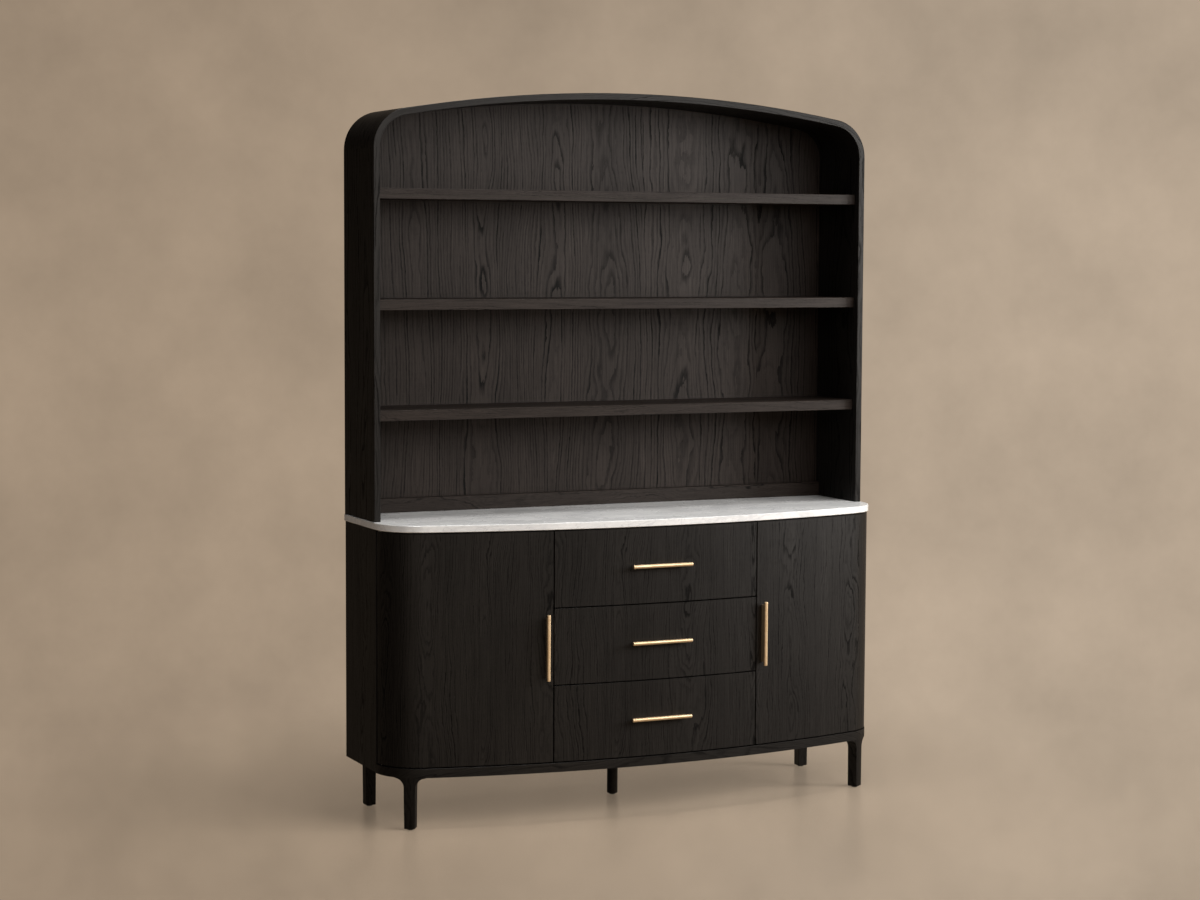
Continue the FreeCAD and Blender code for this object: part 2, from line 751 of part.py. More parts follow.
# Bar pulls
def handle(label, x, y, z, turn, upright):
    """Round bar on a thin web, seated on the curved front; drawn at the face with the front towards -Y."""
    body = new_body(label, x=x, y=y, z=z, turn=turn)
    bar_y = size("handle_radius") - size("handle_projection")
    half_length = size("handle_length") / 2
    web_half = size("handle_web_length") / 2
    wall_half = size("handle_web_thickness") / 2
    plane = "XY_Plane" if upright else "YZ_Plane"
    section = Outline(body, plane, "section", -half_length)
    section.circle((ZERO, bar_y) if upright else (bar_y, ZERO), size("handle_radius"))
    pad(body, section, size("handle_length"))
    dress(body, "Chamfer", size("handle_end_ease"), lambda edge: len(edge.Vertexes) == 1)
    radius = size("bow_radius") - front_inset
    across = wall_half if upright else web_half
    tall = web_half if upright else wall_half
    web = Outline(body, "XY_Plane", "web", -tall)
    spread = math.asin((across / radius).number)
    seat = web.arc((ZERO, radius), radius, -math.pi / 2 - spread, spread - math.pi / 2)
    seat_y = radius - root(radius * radius - across * across)
    corners = [(across, seat_y), (across, bar_y), (-across, bar_y), (-across, seat_y)]
    lines = [web.line(start, end) for start, end in zip(corners, corners[1:])]
    web.ring([seat] + lines)
    web.place(seat.centre, ZERO, radius)
    web.set_radius(seat, radius)
    web.place(lines[0].end, *corners[1])
    web.place(lines[1].end, *corners[2])
    web.upright(lines[0], lines[2])
    pad(body, web, tall * 2)


# Drawers
def drawer_front(name, level):
    body = new_body("drawer_%s_front" % name, z=level)
    outline = Outline(body, "XY_Plane", "plan")
    ends = []
    for inset in (front_inset, lining_inset):
        radius = size("bow_radius") - inset
        stop = math.acos((front_cut / radius).number)
        bow = outline.arc((ZERO, bow_level), radius, -math.pi + stop, -stop)
        outline.place(bow.centre, ZERO, bow_level)
        outline.set_radius(bow, radius)
        outline.place(bow.start, -front_cut)
        outline.place(bow.end, front_cut)
        ends.append((bow, bow_y(inset, front_cut)))
    (outer, outer_y), (inner, inner_y) = ends
    right = outline.line((front_cut, outer_y), (front_cut, inner_y))
    left = outline.line((-front_cut, inner_y), (-front_cut, outer_y))
    outline.ring([outer, right, inner.flipped(), left])
    pad(body, outline, drawer_pitch - size("front_gap"))
    ease(body, lambda edge: True)


def drawer_side(drawer, level, side, name):
    """Box side, its front end cut to the curve of the drawer front and grooved for the bottom."""
    body = new_body("drawer_%s_side_%s" % (drawer, name), z=level + size("box_lift"))
    outline = Outline(body, "XY_Plane", "plan")
    points = [(box_half, box_rear), (box_half, bow_y(lining_inset, box_half)),
              (box_inner, bow_y(lining_inset, box_inner)), (box_inner, box_rear)]
    outline.polygon([(x * side, y) for x, y in points])
    pad(body, outline, box_height)
    groove = Outline(body, "XZ_Plane", "groove", -box_rear - size("overrun"))
    low = size("box_bottom_rise") - size("box_groove_play")
    high = size("box_bottom_rise") + size("box_bottom_thickness") + size("box_groove_play")
    near_x = (box_inner - size("overrun")) * side
    far_x = (box_inner + size("box_groove_depth")) * side
    groove.rectangle(near_x, low, far_x, high)
    cut(body, groove, size("base_depth"), backwards=True)


def drawer_back(drawer, level):
    body = new_body("drawer_%s_back" % drawer, z=level + size("box_lift"))
    outline = Outline(body, "XZ_Plane", "face", -box_rear)
    outline.rectangle(-box_inner, size("box_bottom_rise") + size("box_bottom_thickness"),
                      box_inner, box_height)
    pad(body, outline, size("box_back_thickness"))


def drawer_bottom(drawer, level):
    body = new_body("drawer_%s_bottom" % drawer, z=level + size("box_lift") + size("box_bottom_rise"))
    outline = Outline(body, "XY_Plane", "plan")
    reach = box_inner + size("box_groove_depth") - size("box_groove_play")
    radius = size("bow_radius") - lining_inset
    stop = math.acos((reach / radius).number)
    bow = outline.arc((ZERO, bow_level), radius, -math.pi + stop, -stop)
    front_y = bow_y(lining_inset, reach)
    corners = [(reach, front_y), (reach, box_rear), (-reach, box_rear), (-reach, front_y)]
    lines = [outline.line(start, end) for start, end in zip(corners, corners[1:])]
    outline.ring([bow] + lines)
    outline.place(bow.centre, ZERO, bow_level)
    outline.set_radius(bow, radius)
    outline.place(lines[0].end, *corners[1])
    outline.place(lines[1].end, *corners[2])
    outline.upright(lines[0], lines[2])
    pad(body, outline, size("box_bottom_thickness"))


def channel(outline, side, web_x, lip_x, level, half_height):
    """Draw a C section whose web stands at web_x and whose lips reach to lip_x."""
    towards = 1 if lip_x.number > web_x.number else -1
    wall = size("slide_wall")
    inside_x = web_x + wall * towards
    points = [(web_x, half_height), (lip_x, half_height), (lip_x, half_height - wall),
              (inside_x, half_height - wall), (inside_x, wall - half_height), (lip_x, wall - half_height),
              (lip_x, -half_height), (web_x, -half_height)]
    outline.polygon([(x * side, level + z) for x, z in points])


def drawer_slide_rails(levels):
    """Fixed slide rails on the partitions, a pair for each drawer."""
    body = new_body("drawer_slide_rails")
    outline = Outline(body, "XZ_Plane", "sections", slide_front - size("slide_length"))
    lip_x = box_half + size("slide_wall") + size("slide_play")
    for level in levels:
        for side, _ in SIDES:
            channel(outline, side, stack_inner, lip_x, level + slide_rise, size("slide_height") / 2)
    pad(body, outline, size("slide_length"))


def drawer_slide_members(drawer, level):
    """Moving slide members on the box sides, running inside the fixed rails."""
    body = new_body("drawer_%s_slide_members" % drawer, z=level)
    outline = Outline(body, "XZ_Plane", "sections", slide_front - size("slide_length"))
    lip_x = stack_inner - size("slide_wall") - size("slide_play")
    half_height = size("slide_height") / 2 - size("slide_wall") - size("slide_play")
    for side, _ in SIDES:
        channel(outline, side, box_half, lip_x, slide_rise, half_height)
    pad(body, outline, size("slide_length"))


# Hutch
def dowel_depths(front, rear):
    return (front + size("dowel_inset"), rear - size("dowel_inset"))


def shelf_top(index):
    """Level of a hutch shelf's upper face above the stone."""
    return hutch_shelf_pitch * (index + 1)


def hutch_side(side, name):
    """Straight side from the stone to the arch's spring line, rebated for the back."""
    body = new_body("hutch_side_" + name, z=size("counter_height"))
    outline = Outline(body, "XY_Plane", "plan")
    rebate_x = hutch_inner + size("back_rebate_width")
    front = -size("hutch_depth")
    points = [(half_width, ZERO), (half_width, front), (hutch_inner, front),
              (hutch_inner, hutch_back_face), (rebate_x, hutch_back_face), (rebate_x, ZERO)]
    outline.polygon([(x * side, y) for x, y in points])
    pad(body, outline, hutch_side_height)
    front_line = (front + NEAR).number
    ease(body, lambda edge: is_upright(edge) and edge.BoundBox.YMax < front_line)
    bore = size("dowel_radius") + size("dowel_play")
    room = size("dowel_end_room")
    shelf_bores = [(y, shelf_top(index) - size("hutch_shelf_thickness") / 2)
                   for index in range(len(HUTCH_SHELVES)) for y in dowel_depths(shelf_front, hutch_back_face)]
    drill(body, "YZ_Plane", shelf_bores, bore, hutch_inner * side, size("dowel_seat") + room,
          backwards=side > 0)
    top_bores = [(arch_dowel_x * side, y) for y in dowel_depths(front, hutch_back_face)]
    drill(body, "XY_Plane", top_bores, bore, hutch_side_height, size("dowel_length") / 2 + room)


def hutch_arch_top():
    """Bent top: two rounded corners joined by a shallow arch, of even thickness."""
    body = new_body("hutch_arch_top", z=spring_level)
    outline = Outline(body, "XZ_Plane", "face")
    wall = size("hutch_thickness")
    outer = outline.corner_bow_corner(arch_corner_x, ZERO, arch_level, arch_radius, size("arch_corner_radius"))
    inner = outline.corner_bow_corner(arch_corner_x, ZERO, arch_level, arch_radius - wall,
                                      size("arch_corner_radius") - wall)
    for x in (-half_width, half_width):
        inside = x + wall if x.number < 0 else x - wall
        foot = outline.line((x, ZERO), (inside, ZERO))
        outer_end, inner_end = (outer[2].end, inner[2].end) if x.number < 0 else (outer[0].start, inner[0].start)
        for vertex, end in ((foot.start, outer_end), (foot.end, inner_end)):
            outline.sketch.addConstraint(Sketcher.Constraint("Coincident", *vertex, *end))
    pad(body, outline, size("hutch_depth"))
    front_line = (NEAR - size("hutch_depth")).number
    ease(body, lambda edge: edge.BoundBox.YMax < front_line and edge.BoundBox.ZMax > NEAR)
    rebate = Outline(body, "XZ_Plane", "rebate")
    deep = wall - size("back_rebate_width")
    arch_face(rebate, arch_corner_x, arch_radius - deep, size("arch_corner_radius") - deep, -size("overrun"))
    cut(body, rebate, -hutch_back_face, backwards=True)
    bores = [(arch_dowel_x * side, y) for side, _ in SIDES
             for y in dowel_depths(-size("hutch_depth"), hutch_back_face)]
    drill(body, "XY_Plane", bores, size("dowel_radius") + size("dowel_play"), ZERO,
          size("dowel_length") / 2 + size("dowel_end_room"), backwards=True)


def arch_face(outline, corner_centre_x, radius, corner, foot):
    """Draw the arch down to a straight foot below the spring line."""
    arch = outline.corner_bow_corner(corner_centre_x, ZERO, arch_level, radius, corner)
    x = corner_centre_x + corner
    corners = [(-x, ZERO), (-x, foot), (x, foot), (x, ZERO)]
    lines = [outline.line(start, end) for start, end in zip(corners, corners[1:])]
    for edge, following in zip([arch[2]] + lines, lines + [arch[0]]):
        outline.sketch.addConstraint(Sketcher.Constraint("Coincident", *edge.end, *following.start))
    outline.place(lines[0].end, *corners[1])
    outline.place(lines[1].end, *corners[2])


def hutch_back_panel():
    body = new_body("hutch_back_panel", z=spring_level)
    outline = Outline(body, "XZ_Plane", "face", -rear_face)
    deep = size("hutch_thickness") - size("back_rebate_width") + size("back_play")
    arch_face(outline, arch_corner_x, arch_radius - deep, size("arch_corner_radius") - deep, -hutch_side_height)
    pad(body, outline, size("hutch_back_thickness"))


def hutch_back_rail():
    """Lower rail across the back, standing on the stone."""
    body = new_body("hutch_back_rail", z=size("counter_height"))
    outline = Outline(body, "XY_Plane", "plan")
    outline.rectangle(-hutch_inner, hutch_back_face - size("back_rail_thickness"), hutch_inner, hutch_back_face)
    pad(body, outline, size("back_rail_height"))
    lowest = (size("back_rail_height") - NEAR).number
    front_line = (hutch_back_face - size("back_rail_thickness") + NEAR).number
    ease(body, lambda edge: edge.BoundBox.ZMin > lowest and edge.BoundBox.YMax < front_line)


def hutch_shelf(label, index):
    body = new_body(label, z=size("counter_height") + shelf_top(index) - size("hutch_shelf_thickness"))
    outline = Outline(body, "XY_Plane", "plan")
    outline.rectangle(-hutch_inner, shelf_front, hutch_inner, hutch_back_face)
    pad(body, outline, size("hutch_shelf_thickness"))
    front_line = (shelf_front + NEAR).number
    ease(body, lambda edge: is_long(edge) and edge.BoundBox.YMax < front_line)
    centres = [(y, size("hutch_shelf_thickness") / 2) for y in dowel_depths(shelf_front, hutch_back_face)]
    depth = size("dowel_length") - size("dowel_seat") + size("dowel_end_room")
    for side, _ in SIDES:
        drill(body, "YZ_Plane", centres, size("dowel_radius") + size("dowel_play"), hutch_inner * side,
              depth, backwards=side < 0)


def hutch_dowels():
    """Dowels between shelves and sides, and between the sides and the arched top."""
    body = new_body("hutch_dowels", z=size("counter_height"))
    length = size("dowel_length")
    for side, _ in SIDES:
        inner_end = hutch_inner + size("dowel_seat") - length
        start = inner_end if side > 0 else -inner_end - length
        outline = Outline(body, "YZ_Plane", "circles", start)
        for index in range(len(HUTCH_SHELVES)):
            level = shelf_top(index) - size("hutch_shelf_thickness") / 2
            for y in dowel_depths(shelf_front, hutch_back_face):
                outline.circle((y, level), size("dowel_radius"))
        pad(body, outline, length)
    outline = Outline(body, "XY_Plane", "circles", hutch_side_height - length / 2)
    for side, _ in SIDES:
        for y in dowel_depths(-size("hutch_depth"), hutch_back_face):
            outline.circle((arch_dowel_x * side, y), size("dowel_radius"))
    pad(body, outline, length)


def hutch_tie_plates():
    """Steel plates on the rear that tie the hutch to the base across the stone's edge."""
    body = new_body("hutch_tie_plates", z=slab_bottom)
    outline = Outline(body, "XZ_Plane", "faces", -rear_face - size("tie_plate_thickness"))
    top = size("marble_thickness") + size("tie_plate_above")
    for side, _ in SIDES:
        inner = size("tie_plate_half_spread") - size("tie_plate_width") / 2
        outline.rectangle(inner * side, -size("tie_plate_below"), (inner + size("tie_plate_width")) * side, top)
    pad(body, outline, size("tie_plate_thickness"))

    def is_corner(edge):
        return edge.BoundBox.YLength > max(edge.BoundBox.XLength, edge.BoundBox.ZLength)

    dress(body, "Fillet", size("tie_plate_corner_round"), is_corner)


# Legs
def front_leg(side, name):
    """Tapered leg at the rounded corner, with curved haunches that follow the deck's edge."""
    turn = size("front_leg_turn")
    body = new_body("leg_front_" + name, x=(corner_x + corner_radius * sine(turn)) * side,
                    y=seam_level - corner_radius * cosine(turn), z=size("glide_thickness"), turn=turn * side)
    half = size("front_leg_width") / 2
    foot_half = size("front_leg_foot_width") / 2
    curve = size("haunch_radius")
    top = size("leg_height") - size("glide_thickness")
    land = top - size("haunch_land")
    spring = land - curve
    outline = Outline(body, "XZ_Plane", "face")
    up, level = math.pi / 2, 0.0
    foot = outline.line((-foot_half, ZERO), (foot_half, ZERO))
    right = outline.line((foot_half, ZERO), (half, spring))
    right_haunch = outline.arc((half + curve, spring), curve, math.pi, up)
    right_tip = outline.line((half + curve, land), (half + curve, top))
    head = outline.line((half + curve, top), (-half - curve, top))
    left_tip = outline.line((-half - curve, top), (-half - curve, land))
    left_haunch = outline.arc((-half - curve, spring), curve, up, level)
    left = outline.line((-half, spring), (-foot_half, ZERO))
    outline.ring([foot, right, right_haunch, right_tip, head, left_tip, left_haunch, left], smooth=(1, 6))
    outline.upright(right_tip, left_tip)
    outline.place(foot.start, -foot_half, ZERO)
    outline.place(foot.end, foot_half, ZERO)
    outline.place(head.start, half + curve, top)
    outline.place(head.end, -half - curve, top)
    outline.place(right_haunch.centre, half + curve, spring)
    outline.place(left_haunch.centre, -half - curve, spring)
    outline.set_radius(right_haunch, curve)
    outline.set_radius(left_haunch, curve)
    pad(body, outline, size("front_leg_depth"), backwards=True)
    trim = Outline(body, "XY_Plane", "trim", -size("overrun"))
    reach = half + curve + size("overrun")
    spread = math.asin((reach / corner_radius).number)
    rim = trim.arc((ZERO, corner_radius), corner_radius, -up - spread, spread - up)
    rim_y = corner_radius - root(corner_radius * corner_radius - reach * reach)
    corners = [(reach, rim_y), (reach, -size("overrun")), (-reach, -size("overrun")), (-reach, rim_y)]
    lines = [trim.line(start, end) for start, end in zip(corners, corners[1:])]
    trim.ring([rim] + lines)
    trim.place(rim.centre, ZERO, corner_radius)
    trim.set_radius(rim, corner_radius)
    trim.place(lines[0].end, *corners[1])
    trim.place(lines[1].end, *corners[2])
    trim.upright(lines[0], lines[2])
    cut(body, trim, size("leg_height") + size("overrun") * 2, backwards=True)
    limit = (half + curve / 2).number
    dress(body, "Fillet", size("leg_edge_ease"),
          lambda edge: is_upright(edge) and abs(edge.BoundBox.Center.x) < limit)
    finish_leg(body, top, [(size("leg_bolt_spread") * step, size("front_leg_depth") / 2) for step in (-1, 1)])


def finish_leg(body, top, bolts):
    """Ease the foot of a leg and bore its head for the bolts."""
    chamfer = size("foot_chamfer").number
    dress(body, "Chamfer", size("foot_chamfer"), lambda edge: edge.BoundBox.ZMax < chamfer)
    drill(body, "XY_Plane", bolts, size("leg_bolt_radius") + size("leg_bolt_play"), top,
          size("leg_bolt_length") - size("deck_thickness") + size("dowel_end_room"))


def rear_leg(side, name):
    """Square leg, drawn at its head and tapered on all four sides towards the foot."""
    body = new_body("leg_rear_" + name, x=rear_leg_x * side, z=size("glide_thickness"))
    top = size("leg_height") - size("glide_thickness")
    outline = Outline(body, "XY_Plane", "plan", top)
    half = size("rear_leg_width") / 2
    outline.rectangle(-half, -size("rear_leg_width"), half, ZERO)
    shaft = pad(body, outline, top, backwards=True)
    lean = arctangent((half - size("rear_leg_foot_width") / 2) / top)
    shaft.setExpression("TaperAngle", "-%s * 1 deg" % lean.text)
    dress(body, "Fillet", size("leg_edge_ease"), is_upright)
    finish_leg(body, top, [(size("leg_bolt_spread") * step, -half) for step in (-1, 1)])


def centre_leg():
    body = new_body("leg_centre", y=-size("centre_leg_setback"), z=size("glide_thickness"))
    top = size("leg_height") - size("glide_thickness")
    outline = Outline(body, "XY_Plane", "plan")
    outline.circle((ZERO, ZERO), size("centre_leg_radius"))
    pad(body, outline, top)
    finish_leg(body, top, [(size("leg_bolt_spread") * step, ZERO) for step in (-1, 1)])


def leg_glides():
    """Round glides under the five legs."""
    body = new_body("leg_glides")
    outline = Outline(body, "XY_Plane", "circles")
    reach = corner_radius - size("front_leg_depth") / 2
    turn = size("front_leg_turn")
    centres = [(ZERO, -size("centre_leg_setback"))]
    for side, _ in SIDES:
        centres.append((rear_leg_x * side, -size("rear_leg_width") / 2))
        centres.append(((corner_x + reach * sine(turn)) * side, seam_level - reach * cosine(turn)))
    for centre in centres:
        outline.circle(centre, size("glide_radius"))
    pad(body, outline, size("glide_thickness"))
    edge_limit = size("glide_edge").number
    dress(body, "Chamfer", size("glide_edge"), lambda edge: edge.BoundBox.ZMax < edge_limit)


def leg_bolts():
    """Countersunk bolts through the deck into the legs, two to a leg, heads flush with the deck."""
    body = new_body("leg_bolts", z=deck_top)
    for radius, length in ((size("leg_bolt_radius"), size("leg_bolt_length")),
                           (size("leg_bolt_head_radius"), size("leg_bolt_head_height"))):
        outline = Outline(body, "XY_Plane", "circles", -length)
        for centre in leg_bolt_points():
            outline.circle(centre, radius)
        pad(body, outline, length)


# Places that several pieces share
rear_leg_x = half_width - size("rear_leg_inset") - size("rear_leg_width") / 2
partition_front = bow_y(case_inset, bay_inner)
strike_x = bay_inner + size("catch_width") / 2
strike_y = bow_y(lining_inset, strike_x)
handle_x = size("partition_centre") + size("handle_edge_distance")
handle_door_level = door_bottom + door_height / 2
box_half = stack_inner - size("slide_space")
box_inner = box_half - size("box_side_thickness")
box_rear = -size("box_rear_room")
slide_front = -partition_front - size("slide_setback")
slide_rise = size("box_lift") + box_height / 2
shelf_front = size("hutch_shelf_setback") - size("hutch_depth")
arch_dowel_x = half_width - size("hutch_thickness") / 2
drawer_levels = [door_bottom + drawer_pitch * index for index in range(len(DRAWERS))]

marble_top()
base_deck()
base_back_panel()
base_sub_top()
shelf_pins()
pivot_plates()
door_catches()
for side, name in SIDES:
    base_side(side, name)
    partition(side, name)
    cabinet_shelf(side, name)
    door(side, name)
    door_pivot_pins(side, name)
    door_strike(side, name)
    handle("door_%s_handle" % name, handle_x * side, bow_y(front_inset, handle_x), handle_door_level,
           bow_turn(front_inset, handle_x) * side, upright=True)
    hutch_side(side, name)
    front_leg(side, name)
    rear_leg(side, name)
centre_leg()
leg_glides()
leg_bolts()
drawer_slide_rails(drawer_levels)
for name, level in zip(DRAWERS, drawer_levels):
    drawer_front(name, level)
    drawer_back(name, level)
    drawer_bottom(name, level)
    drawer_slide_members(name, level)
    for side, hand in SIDES:
        drawer_side(name, level, side, hand)
    handle("drawer_%s_handle" % name, ZERO, bow_y(front_inset, ZERO),
           level + (drawer_pitch - size("front_gap")) / 2, None, upright=False)
hutch_arch_top()
hutch_back_panel()
hutch_back_rail()
for index, label in enumerate(HUTCH_SHELVES):
    hutch_shelf(label, index)
hutch_dowels()
hutch_tie_plates()

# Every object is checked before anything is written
doc.recompute()
for item in doc.Objects:
    if "Invalid" in item.State or "Error" in item.State:
        raise RuntimeError("%s failed: %s" % (item.Label, item.State))
for item in cuts:
    if not item.Shape.Volume < item.BaseFeature.Shape.Volume:
        raise RuntimeError("%s cut nothing" % item.Label)
for body in sub_parts:
    if body.Shape.isNull() or not body.Shape.isValid():
        raise RuntimeError("%s has no valid shape" % body.Label)

os.makedirs("parts", exist_ok=True)
for body in sub_parts:
    body.Shape.exportStep("parts/%s.step" % body.Label)
    print("%s: %d solid(s)" % (body.Label, len(body.Shape.Solids)))
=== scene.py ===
"""Looks of a bow-front hutch: black-stained oak, a veined stone top and brass bar pulls."""

import math
from contextlib import contextmanager

import bmesh
import bpy
from mathutils import Matrix, Vector


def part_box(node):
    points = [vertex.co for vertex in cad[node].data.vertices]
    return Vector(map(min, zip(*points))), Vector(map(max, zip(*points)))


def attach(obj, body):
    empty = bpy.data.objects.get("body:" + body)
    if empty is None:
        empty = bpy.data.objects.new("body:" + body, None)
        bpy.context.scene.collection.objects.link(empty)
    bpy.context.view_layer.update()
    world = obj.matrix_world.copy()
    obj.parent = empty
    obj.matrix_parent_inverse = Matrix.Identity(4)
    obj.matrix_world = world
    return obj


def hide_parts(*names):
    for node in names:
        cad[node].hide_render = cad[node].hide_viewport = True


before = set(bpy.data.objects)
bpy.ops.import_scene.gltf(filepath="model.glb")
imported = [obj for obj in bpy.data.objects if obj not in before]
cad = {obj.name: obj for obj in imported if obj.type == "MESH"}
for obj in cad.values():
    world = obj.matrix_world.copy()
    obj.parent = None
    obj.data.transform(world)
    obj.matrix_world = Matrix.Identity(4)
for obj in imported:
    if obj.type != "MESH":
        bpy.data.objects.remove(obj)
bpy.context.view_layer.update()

SIDES = ("left", "right")
DRAWERS = ("lower", "middle", "upper")
SHELVES = ("lower", "middle", "upper")
X_AXIS = Vector((1, 0, 0))
Y_AXIS = Vector((0, 1, 0))
Z_AXIS = Vector((0, 0, 1))
SMOOTH_ANGLE = 35

# The camera, in metres and degrees
CAMERA_PLACE = (-3.3923, -7.1662, 1.7365)
CAMERA_TURN = -24.708
CAMERA_TILT = 4.543
CAMERA_ROLL = 0.271
CAMERA_LENS = 76.475

# The ways to the right of the picture, away from the camera and to the key light, all level
KEY_TURN = 60.0
RIGHTWARDS = (math.cos(math.radians(CAMERA_TURN)), math.sin(math.radians(CAMERA_TURN)), 0)
AWAY = (-math.sin(math.radians(CAMERA_TURN)), math.cos(math.radians(CAMERA_TURN)), 0)
TO_KEY = (math.sin(math.radians(KEY_TURN)), -math.cos(math.radians(KEY_TURN)), 0)

# The softboxes stand round this height, at this reach, in metres; for each its turn to the right
# of the front and its climb in degrees, its width and height in metres and its power in watts
LIGHT_HEIGHT = 1.20
LIGHT_REACH = 4.5
LIGHT_COLOUR = (1.0, 0.985, 0.965)
SOFTBOXES = {
    "key_softbox": (KEY_TURN, 10, 1.6, 1.6, 148.0),
    "front_softbox": (26, 28, 2.6, 3.0, 110.0),
    "left_softbox": (-30, 20, 1.8, 1.8, 36.0),
    "side_softbox": (-75, 20, 1.6, 1.6, 4.0),
    "top_softbox": (0, 85, 1.6, 1.6, 128.0),
}
ROOM_COLOUR = (1.0, 0.96, 0.91, 1)
ROOM_LEVEL = 0.008

# The floor: its radius, the reach over which it fades, in metres, and how it shines
FLOOR_RADIUS = 60.0
FLOOR_FADE = (0.8, 2.1)
FLOOR_OPEN = 0.33
FLOOR_ROUGHNESS = 0.28
FLOOR_SHINE = 0.80

# The arch, in metres
ARCH_HALF_WIDTH = 0.838
ARCH_TOP = 2.210
ARCH_RISE = 0.1815
ARCH_CORNER = 0.120

# The pulls, in metres
PULL_LENGTH = 0.200
PULL_RADIUS = 0.006
PULL_PROJECTION = 0.026
PULL_WEB_LENGTH = 0.180
PULL_WEB_THICKNESS = 0.005
PULL_SEAT = 0.002
PULL_END_ROUND = 0.001
PULL_CAP = 0.007
PULL_GROOVE = 0.0004
PULL_RING = 0.95
PULL_DOOR_X = 0.366
PULL_SCREW_SPREAD = 0.128

# The bowed front, its corners, the door pivots and the slides, in metres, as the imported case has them
BOW_RADIUS = 2.900
BOW_CENTRE = 2.66075
CORNER_X = 0.70152
CORNER_Y = -0.01225
FRONT_INSET = 0.0015
FRONT_THICKNESS = 0.022
PIVOT_X = 0.824707
PIVOT_Y = -0.02625
PIVOT_PLATE_THICKNESS = 0.0025
SLIDE_WALL = 0.0015

# Screws, in metres and in shares of what they hold
SCREW_RADIUS = 0.0034
SCREW_HEIGHT = 0.0011
SCREW_SLOT = (0.0038, 0.0009, 0.0012)
SCREW_TURN = 37.0
PIVOT_SCREWS = (0.030, 0.052)
SLIDE_SCREW_SHARES = (0.08, 0.5, 0.92)
CATCH_SCREW_SHARES = (0.40, 0.82)
BACK_SCREW_X = (0.20, 0.48, 0.76)
BASE_BACK_SCREW_SHARES = (0.08, 0.36, 0.64, 0.92)

# Tie plates and their countersunk screws, in metres
TIE_WIDTH = 0.040
TIE_CORNER = 0.006
TIE_EASE = 0.0004
TIE_SCREW_X = 0.011
TIE_SCREW_SHARES = (0.107, 0.76)
SINK_DEPTH = 0.0024
SINK_RADIUS = 0.0042
SINK_ROOT = 0.0018
SINK_PLAY = 0.0002

# Magnet poles of the catches and bumpers behind the fronts, in metres and shares
POLE_SIZE = (0.010, 0.0016, 0.0035)
POLE_PROUD = 0.0007
POLE_SPREAD = 0.004
POLE_EASE = 0.0003
BUMPER_RADIUS = 0.0035
BUMPER_SHARES = (0.08, 0.92)
DOOR_BUMPER_X = 0.350
DOOR_BUMPER_HEIGHT = 0.0025
DRAWER_BUMPER_X = 0.338
DRAWER_BUMPER_HEIGHT = 0.0042
BUMPER_DOME = 0.00175

# Leg bolts, in metres and degrees
BOLT_RADIUS = 0.003
BOLT_LENGTH = 0.062
BOLT_HEAD_RADIUS = 0.0055
BOLT_HEAD_HEIGHT = 0.004
BOLT_SOCKET_RADIUS = 0.0029
BOLT_SOCKET_DEPTH = 0.0025
BOLT_EDGE = 0.0004
BOLT_SPREAD = 0.0075
FRONT_LEG_TURN = 32.0
FRONT_LEG_REACH = 0.119976
REAR_LEG_X = 0.767
REAR_LEG_Y = 0.24675
CENTRE_LEG_Y = 0.10075

# Stains and finishes, as linear colours
OAK_GROUND = (0.0160, 0.0101, 0.0073, 1)
OAK_DARK = (0.0020, 0.0015, 0.0013, 1)
# Painted shade: a darker copy of the same oak stain for the case's outside, that is its sides, arch, deck,
# fronts and legs
OAK_SHADED_GROUND = (0.0046, 0.0034, 0.0026, 1)
OAK_SHADED_DARK = (0.0012, 0.0009, 0.0007, 1)
OAK_BARE_SHINE = 0.05
BEECH_GROUND = (0.60, 0.44, 0.28, 1)
BEECH_DARK = (0.42, 0.28, 0.155, 1)
STONE_GROUND = (0.90, 0.895, 0.88, 1)
STONE_VEIN = (0.36, 0.37, 0.40, 1)
BRASS_LIGHT = (0.82, 0.65, 0.44, 1)
BRASS_DEEP = (0.66, 0.49, 0.30, 1)
ZINC_LIGHT = (0.60, 0.61, 0.62, 1)
ZINC_DEEP = (0.42, 0.43, 0.44, 1)
NYLON_LIGHT = (0.022, 0.022, 0.023, 1)
NYLON_DEEP = (0.012, 0.012, 0.013, 1)
# The backdrop's paper, painted darker on the left and lighter on the right, towards the key
BACKDROP_LEFT = (0.345, 0.262, 0.187, 1)
BACKDROP_RIGHT = (0.455, 0.362, 0.272, 1)

# Broad and fine veins of the stone: scale, width, detail, distortion and strength
STONE_VEINS_BROAD = (2.6, 0.050, 5.0, 0.7, 0.20)
STONE_VEINS_FINE = (6.5, 0.018, 6.0, 1.1, 0.24)
STONE_TURN = (0.2, 0.1, math.radians(14))

# How far the oak's rings stray, in metres: the pith sideways, the cut over it, and each ring's edge
PITH_DRIFT = 0.06
CUT_WAVE = 0.045
RING_JAG = 0.0034
PITH_DEPTH = (0.02, 0.07)


# Wiring of material trees
def join(tree, value, socket):
    """Links a socket's value, or sets a plain one."""
    if isinstance(value, bpy.types.NodeSocket):
        tree.links.new(value, socket)
    else:
        socket.default_value = value


def add_node(tree, kind, inputs=None, **settings):
    node = tree.nodes.new(kind)
    for name, value in settings.items():
        setattr(node, name, value)
    for name, value in (inputs or {}).items():
        join(tree, value, node.inputs[name])
    return node


def maths(tree, operation, *values):
    node = tree.nodes.new("ShaderNodeMath")
    node.operation = operation
    for socket, value in zip(node.inputs, values):
        join(tree, value, socket)
    return node.outputs[0]


def plus(tree, first, second):
    return maths(tree, "ADD", first, second)


def minus(tree, first, second):
    return maths(tree, "SUBTRACT", first, second)


def times(tree, first, second):
    return maths(tree, "MULTIPLY", first, second)


